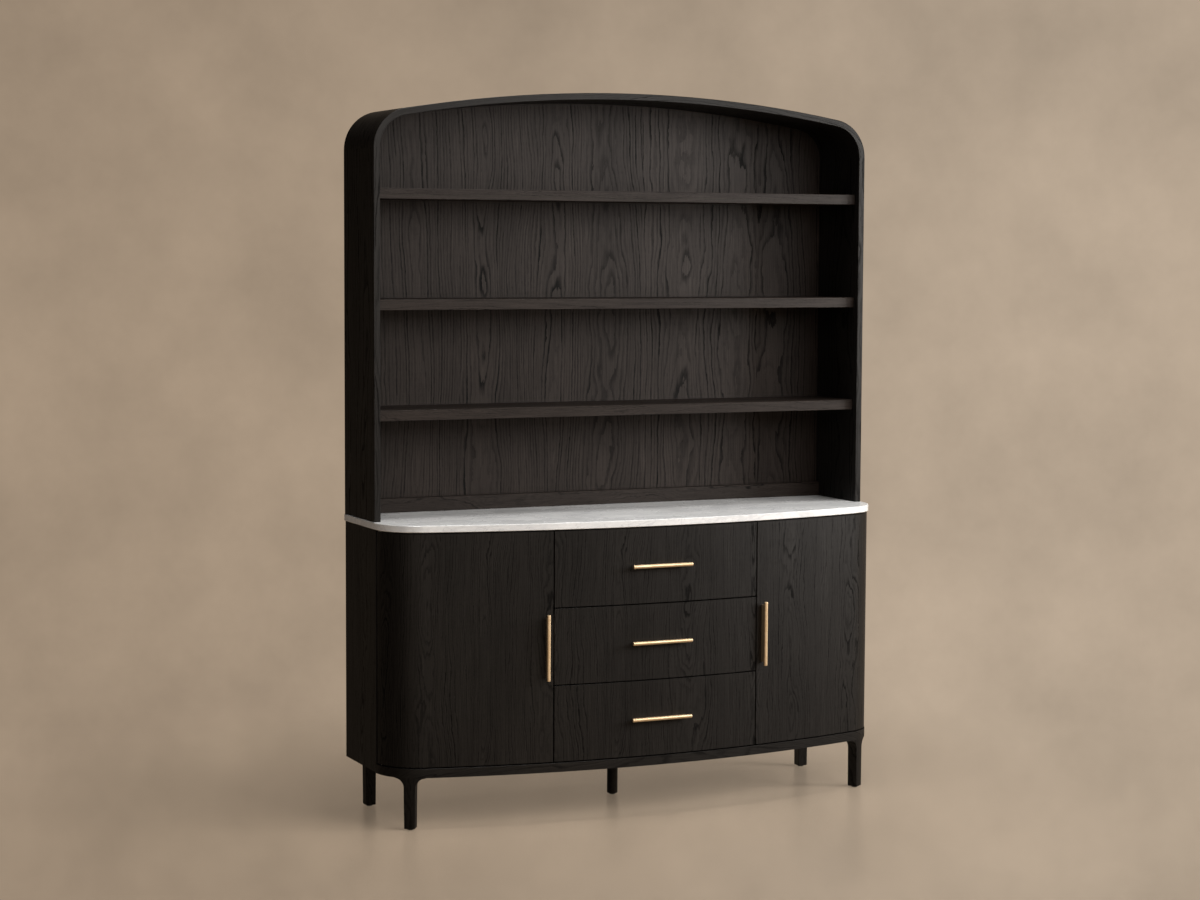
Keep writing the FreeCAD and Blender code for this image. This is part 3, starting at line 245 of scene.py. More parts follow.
def vector_maths(tree, operation, *values):
    node = tree.nodes.new("ShaderNodeVectorMath")
    node.operation = operation
    for socket, value in zip(node.inputs, values):
        join(tree, value, socket)
    return node.outputs["Value" if operation in ("LENGTH", "DOT_PRODUCT") else "Vector"]


def length_of(tree, across, up):
    """The length of a slanted line from how far it goes across and up."""
    return maths(tree, "SQRT", plus(tree, times(tree, across, across), times(tree, up, up)))


def combine(tree, *values):
    node = tree.nodes.new("ShaderNodeCombineXYZ")
    for socket, value in zip(node.inputs, values):
        join(tree, value, socket)
    return node.outputs[0]


def separate(tree, vector):
    return add_node(tree, "ShaderNodeSeparateXYZ", {0: vector}).outputs


def noise(tree, vector, scale, detail=2.0, roughness=0.5, distortion=0.0):
    """Noise of a place that counts more or fewer units, along each axis or all alike."""
    scales = scale if isinstance(scale, tuple) else (scale, scale, scale)
    inputs = {"Vector": vector_maths(tree, "MULTIPLY", vector, scales), "Scale": 1.0, "Detail": detail,
              "Roughness": roughness, "Distortion": distortion}
    return add_node(tree, "ShaderNodeTexNoise", inputs).outputs[0]


def remap(tree, value, low, high, new_low=0.0, new_high=1.0, smooth=False):
    inputs = {"Value": value, "From Min": low, "From Max": high, "To Min": new_low, "To Max": new_high}
    kind = "SMOOTHSTEP" if smooth else "LINEAR"
    return add_node(tree, "ShaderNodeMapRange", inputs, interpolation_type=kind).outputs[0]


def blend_colours(tree, share, first, second, blend="MIX"):
    node = tree.nodes.new("ShaderNodeMix")
    node.data_type = "RGBA"
    node.blend_type = blend
    join(tree, share, node.inputs[0])
    join(tree, first, node.inputs[6])
    join(tree, second, node.inputs[7])
    return node.outputs[2]


def shade(tree, colour, level):
    """A colour made lighter or darker."""
    return blend_colours(tree, 1.0, colour, combine(tree, level, level, level), "MULTIPLY")


def mix_shaders(tree, share, first, second):
    return add_node(tree, "ShaderNodeMixShader", {0: share, 1: first, 2: second}).outputs[0]


def new_effect(name, inputs, outputs):
    """An empty node group with named inputs, each with its kind and usual value, and named outputs."""
    group = bpy.data.node_groups.new(name, "ShaderNodeTree")
    for label, kind, value in inputs:
        socket = group.interface.new_socket(label, in_out="INPUT", socket_type=kind)
        socket.default_value = value
    for label, kind in outputs:
        group.interface.new_socket(label, in_out="OUTPUT", socket_type=kind)
    entry = group.nodes.new("NodeGroupInput").outputs
    result = group.nodes.new("NodeGroupOutput").inputs
    return group, entry, result


def use_effect(tree, group, **inputs):
    node = tree.nodes.new("ShaderNodeGroup")
    node.node_tree = group
    for name, value in inputs.items():
        join(tree, value, node.inputs[name])
    return node.outputs


NUMBER = "NodeSocketFloat"
COLOUR = "NodeSocketColor"
VECTOR = "NodeSocketVector"


# Effects that several finishes use
def make_oak_figure():
    """Growth rings cut as veneer leaves, with pores and fibres along the grain."""
    inputs = [("Across", NUMBER, 0.0), ("Along", NUMBER, 0.0), ("Leaf", NUMBER, 0.27),
              ("Spacing", NUMBER, 0.0095), ("Rise", NUMBER, 0.04)]
    outputs = [("Rings", NUMBER), ("Pores", NUMBER), ("Fibre", NUMBER), ("Tone", NUMBER)]
    group, entry, result = new_effect("oak_figure", inputs, outputs)
    across = entry["Across"]
    along = entry["Along"]
    place = combine(group, across, along, 0.0)
    leaf = maths(group, "FLOOR", maths(group, "DIVIDE", across, entry["Leaf"]))
    chance = add_node(group, "ShaderNodeTexWhiteNoise", {"W": leaf}, noise_dimensions="1D")
    lots = add_node(group, "ShaderNodeSeparateColor", {0: chance.outputs["Color"]}).outputs
    # The pith's line wanders sideways and towards the cut from leaf to leaf
    middle = times(group, plus(group, leaf, remap(group, lots[0], 0, 1, 0.25, 0.75)), entry["Leaf"])
    drift = remap(group, noise(group, place, (3.0, 1.1, 1)), 0, 1, -PITH_DRIFT, PITH_DRIFT)
    offset = plus(group, minus(group, across, middle), drift)
    slope = times(group, along, times(group, entry["Rise"], remap(group, lots[1], 0, 1, -1.3, 1.3)))
    wave = remap(group, noise(group, place, (7.0, 2.2, 1), 3.0), 0, 1, -CUT_WAVE, CUT_WAVE)
    depth = plus(group, plus(group, slope, wave), remap(group, lots[2], 0, 1, *PITH_DEPTH))
    jag = remap(group, noise(group, place, (130.0, 26.0, 1), 3.0, 0.6), 0, 1, -RING_JAG, RING_JAG)
    count = maths(group, "DIVIDE", plus(group, length_of(group, offset, depth), jag), entry["Spacing"])
    ring = maths(group, "FRACT", count)
    early = remap(group, ring, 0.08, 0.58, 1.0, 0.0, smooth=True)
    age = add_node(group, "ShaderNodeTexWhiteNoise",
                   {"W": plus(group, maths(group, "FLOOR", count), leaf)}, noise_dimensions="1D")
    strength = remap(group, maths(group, "POWER", age.outputs["Value"], 1.8), 0, 1, 0.25, 1.60)
    patch = remap(group, noise(group, place, (30.0, 5.0, 1)), 0.3, 0.7, 0.40, 1.0)
    rings = times(group, times(group, early, strength), patch)
    join(group, rings, result["Rings"])
    flecks = remap(group, noise(group, place, (1500.0, 60.0, 1), 1.0), 0.56, 0.70)
    join(group, times(group, flecks, remap(group, early, 0, 1, 0.35, 1.0)), result["Pores"])
    fibre = remap(group, noise(group, place, (420.0, 7.0, 1), 3.0, 0.65), 0.25, 0.75)
    join(group, fibre, result["Fibre"])
    cloud = remap(group, noise(group, place, (8.0, 1.8, 1), 3.0), 0.25, 0.75, 0.0, 0.7)
    join(group, plus(group, cloud, remap(group, lots[0], 0, 1, 0.0, 0.3)), result["Tone"])
    return group


def make_stain():
    """Stain that sinks into rings and pores: its colour, sheen and relief."""
    inputs = [("Rings", NUMBER, 0.0), ("Pores", NUMBER, 0.0), ("Fibre", NUMBER, 0.5), ("Tone", NUMBER, 0.5),
              ("Ground", COLOUR, OAK_GROUND), ("Dark", COLOUR, OAK_DARK), ("Sheen", NUMBER, 0.45),
              ("Lacquer", NUMBER, 0.7)]
    outputs = [("Color", COLOUR), ("Roughness", NUMBER), ("Coat", NUMBER), ("Height", NUMBER)]
    group, entry, result = new_effect("sunken_stain", inputs, outputs)
    toned = shade(group, entry["Ground"], remap(group, entry["Tone"], 0, 1, 0.70, 1.28))
    streaked = shade(group, toned, remap(group, entry["Fibre"], 0, 1, 0.52, 1.40))
    ringed = blend_colours(group, maths(group, "MINIMUM", entry["Rings"], 1.0), streaked, entry["Dark"])
    pored = blend_colours(group, times(group, entry["Pores"], 0.60), ringed, entry["Dark"])
    join(group, pored, result["Color"])
    rough = plus(group, entry["Sheen"], times(group, entry["Rings"], 0.12))
    rough = plus(group, rough, times(group, entry["Pores"], 0.20))
    rough = plus(group, rough, remap(group, entry["Fibre"], 0, 1, -0.03, 0.03))
    join(group, rough, result["Roughness"])
    thin = times(group, remap(group, entry["Rings"], 0, 1, 1.0, 0.25),
                 remap(group, entry["Pores"], 0, 1, 1.0, 0.45))
    film = times(group, thin, remap(group, entry["Fibre"], 0, 1, 0.60, 1.38))
    film = times(group, film, remap(group, entry["Tone"], 0, 1, 0.84, 1.14))
    join(group, times(group, film, entry["Lacquer"]), result["Coat"])
    sunk = plus(group, times(group, entry["Pores"], 0.7), times(group, entry["Rings"], 0.35))
    relief = minus(group, times(group, entry["Fibre"], 0.25), sunk)
    join(group, relief, result["Height"])
    return group


def make_band_place():
    """Across and along for grain that runs round the arch and its corners."""
    corner_x = ARCH_HALF_WIDTH - ARCH_CORNER
    spring = ARCH_TOP - ARCH_RISE
    radius = (corner_x ** 2 + ARCH_RISE ** 2 - ARCH_CORNER ** 2) / ((ARCH_RISE - ARCH_CORNER) * 2)
    centre_z = ARCH_TOP - radius
    group, entry, result = new_effect("band_place", [("Place", VECTOR, (0, 0, 0))],
                                      [("Across", NUMBER), ("Along", NUMBER)])
    x, y, z = separate(group, entry["Place"])
    reach = maths(group, "ABSOLUTE", x)

    def distance(from_x, from_z):
        return length_of(group, minus(group, reach, from_x), minus(group, z, from_z))

    slant = maths(group, "DIVIDE", reach, minus(group, z, centre_z))
    at_corner = maths(group, "GREATER_THAN", slant, corner_x / (spring - centre_z))
    bow_depth = minus(group, distance(0.0, centre_z), radius)
    corner_depth = minus(group, distance(corner_x, spring), ARCH_CORNER)
    depth = plus(group, bow_depth, times(group, at_corner, minus(group, corner_depth, bow_depth)))
    join(group, plus(group, y, depth), result["Across"])
    fall = minus(group, ARCH_TOP, z)
    join(group, maths(group, "MULTIPLY_ADD", maths(group, "SIGN", x), fall, x), result["Along"])
    return group


def make_stone_veins():
    """Soft grey veins and clouds of a white marble."""
    inputs = [("Place", VECTOR, (0, 0, 0)), ("Ground", COLOUR, STONE_GROUND),
              ("Vein", COLOUR, STONE_VEIN)]
    outputs = [("Color", COLOUR), ("Veins", NUMBER)]
    group, entry, result = new_effect("stone_veins", inputs, outputs)
    # The slab is cut so that its veins run mostly lengthwise and a little askew
    turned = add_node(group, "ShaderNodeMapping", {"Vector": entry["Place"], "Rotation": STONE_TURN})
    place = vector_maths(group, "MULTIPLY", turned.outputs[0], (1.0, 2.2, 2.2))

    def veins(scale, width, detail, distortion, strength):
        field = noise(group, place, scale, detail, 0.55, distortion)
        gap = maths(group, "ABSOLUTE", minus(group, field, 0.5))
        return times(group, remap(group, gap, 0.0, width, 1.0, 0.0, smooth=True), strength)

    cloud = remap(group, noise(group, place, 3.2, 4.0, 0.6, 0.4), 0.35, 0.72, 0.0, 0.24)
    speck = remap(group, noise(group, place, 60.0, 3.0, 0.6), 0.4, 0.75, 0.0, 0.14)
    lines = maths(group, "MAXIMUM", veins(*STONE_VEINS_BROAD), veins(*STONE_VEINS_FINE))
    masks = maths(group, "MINIMUM", plus(group, lines, plus(group, cloud, speck)), 1.0)
    join(group, blend_colours(group, masks, entry["Ground"], entry["Vein"]), result["Color"])
    join(group, masks, result["Veins"])
    return group


def make_brushing():
    """Fine scratches along one way of a metal, and their sheen."""
    inputs = [("Across", NUMBER, 0.0), ("Along", NUMBER, 0.0), ("Sheen", NUMBER, 0.3)]
    outputs = [("Roughness", NUMBER), ("Lines", NUMBER), ("Cloud", NUMBER)]
    group, entry, result = new_effect("brushing", inputs, outputs)
    place = combine(group, entry["Across"], entry["Along"], 0.0)
    lines = noise(group, place, (5200.0, 70.0, 1), 2.0, 0.6)
    cloud = noise(group, place, (60.0, 22.0, 1), 3.0, 0.55)
    join(group, lines, result["Lines"])
    join(group, cloud, result["Cloud"])
    rough = plus(group, entry["Sheen"], remap(group, lines, 0.25, 0.75, -0.05, 0.05))
    rough = plus(group, rough, remap(group, cloud, 0.3, 0.7, -0.03, 0.05))
    join(group, rough, result["Roughness"])
    return group


def make_handling():
    """Uneven sheen where a smooth surface has been wiped and touched."""
    inputs = [("Place", VECTOR, (0, 0, 0)), ("Scale", NUMBER, 12.0), ("Low", NUMBER, 0.2),
              ("High", NUMBER, 0.4)]
    outputs = [("Roughness", NUMBER), ("Mask", NUMBER)]
    group, entry, result = new_effect("handling", inputs, outputs)
    texture = add_node(group, "ShaderNodeTexNoise", {"Vector": entry["Place"], "Scale": entry["Scale"],
                                                     "Detail": 4.0, "Roughness": 0.6})
    mask = remap(group, texture.outputs[0], 0.3, 0.7)
    span = minus(group, entry["High"], entry["Low"])
    join(group, maths(group, "MULTIPLY_ADD", mask, span, entry["Low"]), result["Roughness"])
    join(group, mask, result["Mask"])
    return group


def make_scribed_joint():
    """A fine dark line where two pieces of wood meet at one level."""
    inputs = [("Level", NUMBER, 0.0), ("Joint", NUMBER, 0.0), ("Width", NUMBER, 0.001),
              ("Color", COLOUR, OAK_GROUND), ("Dark", COLOUR, OAK_DARK)]
    outputs = [("Color", COLOUR), ("Mask", NUMBER)]
    group, entry, result = new_effect("scribed_joint", inputs, outputs)
    gap = maths(group, "ABSOLUTE", minus(group, entry["Level"], entry["Joint"]))
    share = maths(group, "DIVIDE", gap, entry["Width"])
    mask = remap(group, share, 0.3, 1.0, 1.0, 0.0, smooth=True)
    join(group, blend_colours(group, mask, entry["Color"], entry["Dark"]), result["Color"])
    join(group, mask, result["Mask"])
    return group


def make_backdrop_shade():
    """The studio's mottled warm paper by the way one looks, with painted light: lighter towards the right, on
    the key's side, and at half height.
    """
    group, entry, result = new_effect("backdrop_shade", [("Way", VECTOR, (0, 0, 0))], [("Color", COLOUR)])
    way = vector_maths(group, "NORMALIZE", entry["Way"])
    share = remap(group, vector_maths(group, "DOT_PRODUCT", way, RIGHTWARDS), -0.22, 0.22, smooth=True)
    paper = blend_colours(group, share, BACKDROP_LEFT, BACKDROP_RIGHT)
    height = plus(group, separate(group, way)[2], math.sin(math.radians(CAMERA_TILT)))
    level = remap(group, times(group, height, height), 0.0, 0.03, 1.04, 0.93)
    mottle = remap(group, noise(group, way, 16.0, 5.0, 0.62), 0.25, 0.75, 0.86, 1.14)
    join(group, shade(group, paper, times(group, mottle, level)), result["Color"])
    return group


OAK_FIGURE = make_oak_figure()
SUNKEN_STAIN = make_stain()
BAND_PLACE = make_band_place()
STONE_VEINS = make_stone_veins()
BRUSHING = make_brushing()
HANDLING = make_handling()
SCRIBED_JOINT = make_scribed_joint()
BACKDROP_SHADE = make_backdrop_shade()


# Finishes
def new_finish(name):
    """An empty material, with its shader and the place of each point of the surface."""
    material = bpy.data.materials.new(name)
    material.use_nodes = True
    tree = material.node_tree
    shader = tree.nodes["Principled BSDF"]
    place = tree.nodes.new("ShaderNodeTexCoord").outputs["Object"]
    return material, tree, shader, place


def upright_grain(tree, place, turn=1):
    """Grain that stands upright, its width counted round the front's corner on the right."""
    x, y, z = separate(tree, place)
    return maths(tree, "MULTIPLY_ADD", y, turn, x), z


def left_grain(tree, place):
    """The same, counted round the corner on the left."""
    return upright_grain(tree, place, -1)


def lying_grain(tree, place):
    """Grain that runs from side to side."""
    x, y, z = separate(tree, place)
    return plus(tree, y, z), x


def deep_grain(tree, place):
    """Grain that runs from front to back."""
    x, y, z = separate(tree, place)
    return plus(tree, x, z), y


def band_grain(tree, place):
    """Grain that runs round the arch."""
    outputs = use_effect(tree, BAND_PLACE, Place=place)
    return outputs["Across"], outputs["Along"]


def add_relief(tree, shader, height, strength, distance):
    bump = add_node(tree, "ShaderNodeBump", {"Height": height, "Strength": strength, "Distance": distance})
    tree.links.new(bump.outputs["Normal"], shader.inputs["Normal"])


def wood_finish(name, grain, ground, dark, leaf=0.21, spacing=0.0095, rise=0.04, sheen=0.50, lacquer=0.42,
                relief=0.0003, joint_level=None):
    material, tree, shader, place = new_finish(name)
    across, along = grain(tree, place)
    figure = use_effect(tree, OAK_FIGURE, Across=across, Along=along, Leaf=leaf, Spacing=spacing, Rise=rise)
    grown = {mask: figure[mask] for mask in ("Rings", "Pores", "Fibre", "Tone")}
    stain = use_effect(tree, SUNKEN_STAIN, **grown, Ground=ground, Dark=dark, Sheen=sheen, Lacquer=lacquer)
    colour = stain["Color"]
    if joint_level is not None:
        level = separate(tree, place)[2]
        scribed = use_effect(tree, SCRIBED_JOINT, Level=level, Joint=joint_level, Color=colour, Dark=dark)
        colour = scribed["Color"]
    tree.links.new(colour, shader.inputs["Base Color"])
    tree.links.new(stain["Roughness"], shader.inputs["Roughness"])
    tree.links.new(stain["Coat"], shader.inputs["Coat Weight"])
    shader.inputs["Coat Roughness"].default_value = sheen
    shader.inputs["Specular IOR Level"].default_value = OAK_BARE_SHINE
    add_relief(tree, shader, stain["Height"], 0.6, relief)
    return material


def stone_finish():
    material, tree, shader, place = new_finish("veined_marble")
    veins = use_effect(tree, STONE_VEINS, Place=place)
    wiped = use_effect(tree, HANDLING, Place=place, Scale=5.0, Low=0.22, High=0.34)
    tree.links.new(veins["Color"], shader.inputs["Base Color"])
    tree.links.new(wiped["Roughness"], shader.inputs["Roughness"])
    add_relief(tree, shader, veins["Veins"], 0.15, 0.0002)
    return material


def metal_finish(name, grain, light, deep, sheen):
    material, tree, shader, place = new_finish(name)
    across, along = grain(tree, place)
    brushed = use_effect(tree, BRUSHING, Across=across, Along=along, Sheen=sheen)
    share = remap(tree, brushed["Cloud"], 0.3, 0.7)
    tree.links.new(blend_colours(tree, share, light, deep), shader.inputs["Base Color"])
    tree.links.new(brushed["Roughness"], shader.inputs["Roughness"])
    shader.inputs["Metallic"].default_value = 1.0
    add_relief(tree, shader, brushed["Lines"], 0.25, 0.00003)
    return material


def nylon_finish():
    material, tree, shader, place = new_finish("moulded_nylon")
    touched = use_effect(tree, HANDLING, Place=place, Scale=90.0, Low=0.42, High=0.6)
    tree.links.new(blend_colours(tree, touched["Mask"], NYLON_LIGHT, NYLON_DEEP), shader.inputs["Base Color"])
    tree.links.new(touched["Roughness"], shader.inputs["Roughness"])
    add_relief(tree, shader, noise(tree, place, 1400.0), 0.3, 0.0001)
    return material


OAK_STAIN = (OAK_GROUND, OAK_DARK)
# Painted shade: the case's outside takes the darker copy of the oak stain
SHADED_OAK_STAIN = (OAK_SHADED_GROUND, OAK_SHADED_DARK)
BEECH_STAIN = (BEECH_GROUND, BEECH_DARK)
ARCH_JOINT = ARCH_TOP - ARCH_RISE
OAK_UPRIGHT = wood_finish("black_oak_upright", upright_grain, *OAK_STAIN, lacquer=0.38)
OAK_LYING = wood_finish("black_oak_lying", lying_grain, *OAK_STAIN, leaf=0.16, spacing=0.003, rise=0.02,
                        lacquer=0.38)
OAK_BAND = wood_finish("black_oak_band", band_grain, *SHADED_OAK_STAIN, leaf=0.19, spacing=0.006,
                       joint_level=ARCH_JOINT)
OAK_HUTCH_SIDE = wood_finish("black_oak_hutch_side", upright_grain, *SHADED_OAK_STAIN, joint_level=ARCH_JOINT)
OAK_FRONT = wood_finish("black_oak_front", upright_grain, *SHADED_OAK_STAIN, spacing=0.0055)
OAK_FRONT_LEFT = wood_finish("black_oak_front_left", left_grain, *SHADED_OAK_STAIN, spacing=0.0055)
OAK_LEG = wood_finish("black_oak_leg", upright_grain, *SHADED_OAK_STAIN, leaf=0.05, spacing=0.004, lacquer=0.30)
OAK_EDGE = wood_finish("black_oak_edge", lying_grain, *SHADED_OAK_STAIN, leaf=0.11, spacing=0.006)
BEECH_DEEP = wood_finish("pale_beech_deep", deep_grain, *BEECH_STAIN, leaf=0.4, spacing=0.012, relief=0.0001)
BEECH_LYING = wood_finish("pale_beech_lying", lying_grain, *BEECH_STAIN, leaf=0.4, spacing=0.012,
                          relief=0.0001)
MARBLE = stone_finish()
BRASS_LYING = metal_finish("brushed_brass_lying", lying_grain, BRASS_LIGHT, BRASS_DEEP, sheen=0.46)
BRASS_UPRIGHT = metal_finish("brushed_brass_upright", upright_grain, BRASS_LIGHT, BRASS_DEEP, sheen=0.46)
ZINC = metal_finish("zinc_plate", deep_grain, ZINC_LIGHT, ZINC_DEEP, sheen=0.34)
NYLON = nylon_finish()


def give_finish(piece, material):
    for slot in piece.material_slots:
        slot.material = material
    if not piece.material_slots:
        piece.data.materials.append(material)


def finish_case():
    by_finish = {
        OAK_UPRIGHT: ["base_back_panel", "partition_left", "partition_right", "hutch_back_panel"],
        OAK_LEG: ["leg_front_left", "leg_front_right", "leg_rear_left", "leg_rear_right", "leg_centre"],
        OAK_LYING: ["base_sub_top", "cabinet_shelf_left", "cabinet_shelf_right", "hutch_back_rail"]
        + ["hutch_shelf_" + level for level in SHELVES],
        OAK_EDGE: ["base_deck"],
        OAK_BAND: ["hutch_arch_top"],
        OAK_HUTCH_SIDE: ["hutch_side_left", "hutch_side_right"],
        OAK_FRONT: ["door_right", "base_side_right"],
        OAK_FRONT_LEFT: ["door_left", "base_side_left"],
        MARBLE: ["marble_top"],
        ZINC: ["leg_bolts", "hutch_tie_plates", "shelf_pins", "door_pivot_plates", "drawer_slide_rails"],
        NYLON: ["leg_glides", "door_catches"],
        BEECH_DEEP: ["hutch_dowels"],
    }
    for material, names in by_finish.items():
        for name in names:
            give_finish(cad[name], material)
    for side in SIDES:
        give_finish(cad["door_%s_pivot_pins" % side], ZINC)
        give_finish(cad["door_%s_strike" % side], ZINC)
        give_finish(cad["door_%s_handle" % side], BRASS_UPRIGHT)
    for drawer in DRAWERS:
        give_finish(cad["drawer_%s_front" % drawer], OAK_FRONT)
        give_finish(cad["drawer_%s_back" % drawer], BEECH_LYING)
        give_finish(cad["drawer_%s_bottom" % drawer], BEECH_DEEP)
        give_finish(cad["drawer_%s_slide_members" % drawer], ZINC)
        give_finish(cad["drawer_%s_handle" % drawer], BRASS_LYING)
        for side in SIDES:
            give_finish(cad["drawer_%s_side_%s" % (drawer, side)], BEECH_DEEP)


finish_case()


# Modelling by hand
def select_only(*pieces):
    """Selects these pieces and nothing else, the first as the active one."""
    bpy.ops.object.select_all(action="DESELECT")
    for piece in pieces:
        piece.select_set(True)
    bpy.context.view_layer.objects.active = pieces[0]


@contextmanager
def editing(piece):
    """Edit mode on one piece, with all of it selected."""
    select_only(piece)
    bpy.ops.object.mode_set(mode="EDIT")
    bpy.ops.mesh.select_all(action="SELECT")
    yield
    bpy.ops.object.mode_set(mode="OBJECT")


def start_piece(name, primitive, **sizes):
    """A primitive at its size and place, as the start of a piece."""
    bpy.ops.object.select_all(action="DESELECT")
    primitive(**sizes)
    piece = bpy.context.object
    piece.name = piece.data.name = name
    bpy.ops.object.transform_apply(location=True, rotation=True, scale=True)
    return piece


def pick(piece, kind, rule):
    """Selects the faces or edges of a piece in edit mode whose middle and direction fit the rule."""
    bpy.ops.mesh.select_mode(type=kind)
    bpy.ops.mesh.select_all(action="DESELECT")
    shape = bmesh.from_edit_mesh(piece.data)
    if kind == "FACE":
        found = [face for face in shape.faces if rule(face.calc_center_median(), face.normal)]
    else:
        found = [edge for edge in shape.edges
                 if rule((edge.verts[0].co + edge.verts[1].co) / 2, edge.verts[1].co - edge.verts[0].co)]
    for part in found:
        part.select_set(True)
    shape.select_flush_mode()
    bmesh.update_edit_mesh(piece.data)


def combine_pieces(piece, other, operation):
    """Cuts the other piece out of this one, or unites the two; the other one is used up."""
    modifier = piece.modifiers.new("shape", "BOOLEAN")
    modifier.operation = operation
    modifier.solver = "EXACT"
    modifier.object = other
    select_only(piece)
    bpy.ops.object.modifier_apply(modifier=modifier.name)
    bpy.data.objects.remove(other)


def smooth_by_angle(piece):
    select_only(piece)
    bpy.ops.object.shade_smooth_by_angle(angle=math.radians(SMOOTH_ANGLE))


def copy_piece(model, name, place):
    """A copy of a model with its own mesh, moved to its place in the mesh."""
    piece = model.copy()
    piece.data = model.data.copy()
    piece.data.transform(place)
    piece.name = piece.data.name = name
    bpy.context.scene.collection.objects.link(piece)
    return piece


def fit_piece(piece, body, slot, material, *replaced):
    """Gives a finished piece its finish and its body, and hides the parts it replaces."""
    give_finish(piece, material)
    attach(piece, body)
    if replaced:
        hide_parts(*replaced)


def turned_to(facing, spin=0.0):
    """A turn that sends up to the way a piece faces."""
    return facing.to_track_quat("Z", "Y").to_matrix().to_4x4() @ Matrix.Rotation(math.radians(spin), 4, "Z")


def fit_many(model, name, body, slot, material, seats, *replaced, spin=SCREW_TURN):
    """Copies of a small model, one at each seat, joined as one piece; a seat is a place and a facing."""
    copies = []
    for index, (place, facing) in enumerate(seats):
        matrix = Matrix.Translation(place) @ turned_to(Vector(facing), index * spin)
        copies.append(copy_piece(model, "%s_%d" % (name, index + 1), matrix))
    select_only(*copies)
    bpy.ops.object.join()
    copies[0].name = copies[0].data.name = name
    fit_piece(copies[0], body, slot, material, *replaced)


def middle_of(name):
    """The middle of a node's box."""
    low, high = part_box(name)
    return (low + high) / 2


def bow_place(x, inset, z):
    """A point on the bowed front at a distance behind the deck's edge, and the way out of it."""
    radius = BOW_RADIUS - inset
    fall = math.sqrt(radius ** 2 - x ** 2)
    return Vector((x, BOW_CENTRE - fall, z)), Vector((x, -fall, 0)).normalized()


# Pulls
def model_pull():
    """Round bar with eased ends and a fine ring near each, on a thin web."""
    bar_y = PULL_RADIUS - PULL_PROJECTION
    half = PULL_LENGTH / 2
    pull = start_piece("pull", bpy.ops.mesh.primitive_cylinder_add, vertices=48, radius=PULL_RADIUS,
                       depth=PULL_LENGTH, rotation=(0, math.pi / 2, 0), location=(0, bar_y, 0))
    with editing(pull):
        for side in (-1, 1):
            ring_x = (half - PULL_CAP) * side
            bpy.ops.mesh.select_all(action="SELECT")
            bpy.ops.mesh.bisect(plane_co=(ring_x, 0, 0), plane_no=(1, 0, 0))
            pick(pull, "EDGE", lambda middle, way: abs(middle.x - ring_x) < PULL_GROOVE
                 and abs(way.x) < PULL_GROOVE)
            bpy.ops.mesh.bevel(offset=PULL_GROOVE, segments=2, affect="EDGES")
            pick(pull, "EDGE", lambda middle, way: abs(middle.x - ring_x) < PULL_GROOVE / 2
                 and abs(way.x) < PULL_GROOVE / 2)
            bpy.ops.transform.resize(value=(1, PULL_RING, PULL_RING), center_override=(ring_x, bar_y, 0))
        pick(pull, "EDGE", lambda middle, way: abs(middle.x) > half - PULL_GROOVE
             and abs(way.x) < PULL_GROOVE)
        bpy.ops.mesh.bevel(offset=PULL_END_ROUND, segments=4, affect="EDGES")
    web_y = (bar_y + PULL_SEAT) / 2
    web = start_piece("web", bpy.ops.mesh.primitive_cube_add, size=1, location=(0, web_y, 0),
                      scale=(PULL_WEB_LENGTH, PULL_SEAT - bar_y, PULL_WEB_THICKNESS))
    with editing(web):
        pick(web, "EDGE", lambda middle, way: abs(way.y) > max(abs(way.x), abs(way.z)))
        bpy.ops.mesh.bevel(offset=PULL_END_ROUND, segments=3, affect="EDGES")
    combine_pieces(pull, web, "UNION")
    smooth_by_angle(pull)
    return pull


def fit_pulls():
    pull = model_pull()
    for drawer in DRAWERS:
        handle = "drawer_%s_handle" % drawer
        place = Matrix.Translation((0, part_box(handle)[0].y + PULL_PROJECTION, middle_of(handle).z))
        piece = copy_piece(pull, "drawer_%s_pull" % drawer, place)
        fit_piece(piece, "drawer_" + drawer, "brass", BRASS_LYING, handle)
    for side in SIDES:
        handle = "door_%s_handle" % side
        middle = middle_of(handle)
        seat, out = bow_place(math.copysign(PULL_DOOR_X, middle.x), FRONT_INSET, middle.z)
        turn = Matrix.Rotation(math.atan2(out.x, -out.y), 4, "Z") @ Matrix.Rotation(math.pi / 2, 4, "Y")
        piece = copy_piece(pull, "door_%s_pull" % side, Matrix.Translation(seat) @ turn)
        fit_piece(piece, "door_" + side, "brass", BRASS_UPRIGHT, handle)
    bpy.data.objects.remove(pull)


# Screws and bolts
def cut_cross(screw, top):
    """The cross recess in a screw's face."""
    for turn in (0.0, math.pi / 2):
        slot = start_piece("slot", bpy.ops.mesh.primitive_cube_add, size=1, rotation=(0, 0, turn),
                           location=(0, 0, top), scale=SCREW_SLOT)
        combine_pieces(screw, slot, "DIFFERENCE")


def model_screw():
    """Pan head with a cross recess, its underside at the origin."""
    screw = start_piece("screw", bpy.ops.mesh.primitive_cylinder_add, vertices=24, radius=SCREW_RADIUS,
                        depth=SCREW_HEIGHT, location=(0, 0, SCREW_HEIGHT / 2))
    with editing(screw):
        pick(screw, "EDGE", lambda middle, way: middle.z > SCREW_HEIGHT * 0.9)
        bpy.ops.mesh.bevel(offset=SCREW_HEIGHT * 0.6, segments=3, affect="EDGES")
    cut_cross(screw, SCREW_HEIGHT)
    smooth_by_angle(screw)
    return screw


def model_flat_screw():
    """Countersunk head with a cross recess, its face at the origin."""
    screw = start_piece("flat_screw", bpy.ops.mesh.primitive_cone_add, vertices=24, radius1=SINK_ROOT,
                        radius2=SINK_RADIUS - SINK_PLAY, depth=SINK_DEPTH, location=(0, 0, -SINK_DEPTH / 2))
    with editing(screw):
        pick(screw, "EDGE", lambda middle, way: middle.z > -SINK_PLAY)
        bpy.ops.mesh.bevel(offset=SINK_PLAY, segments=2, affect="EDGES")
    cut_cross(screw, 0.0)
    smooth_by_angle(screw)
    return screw


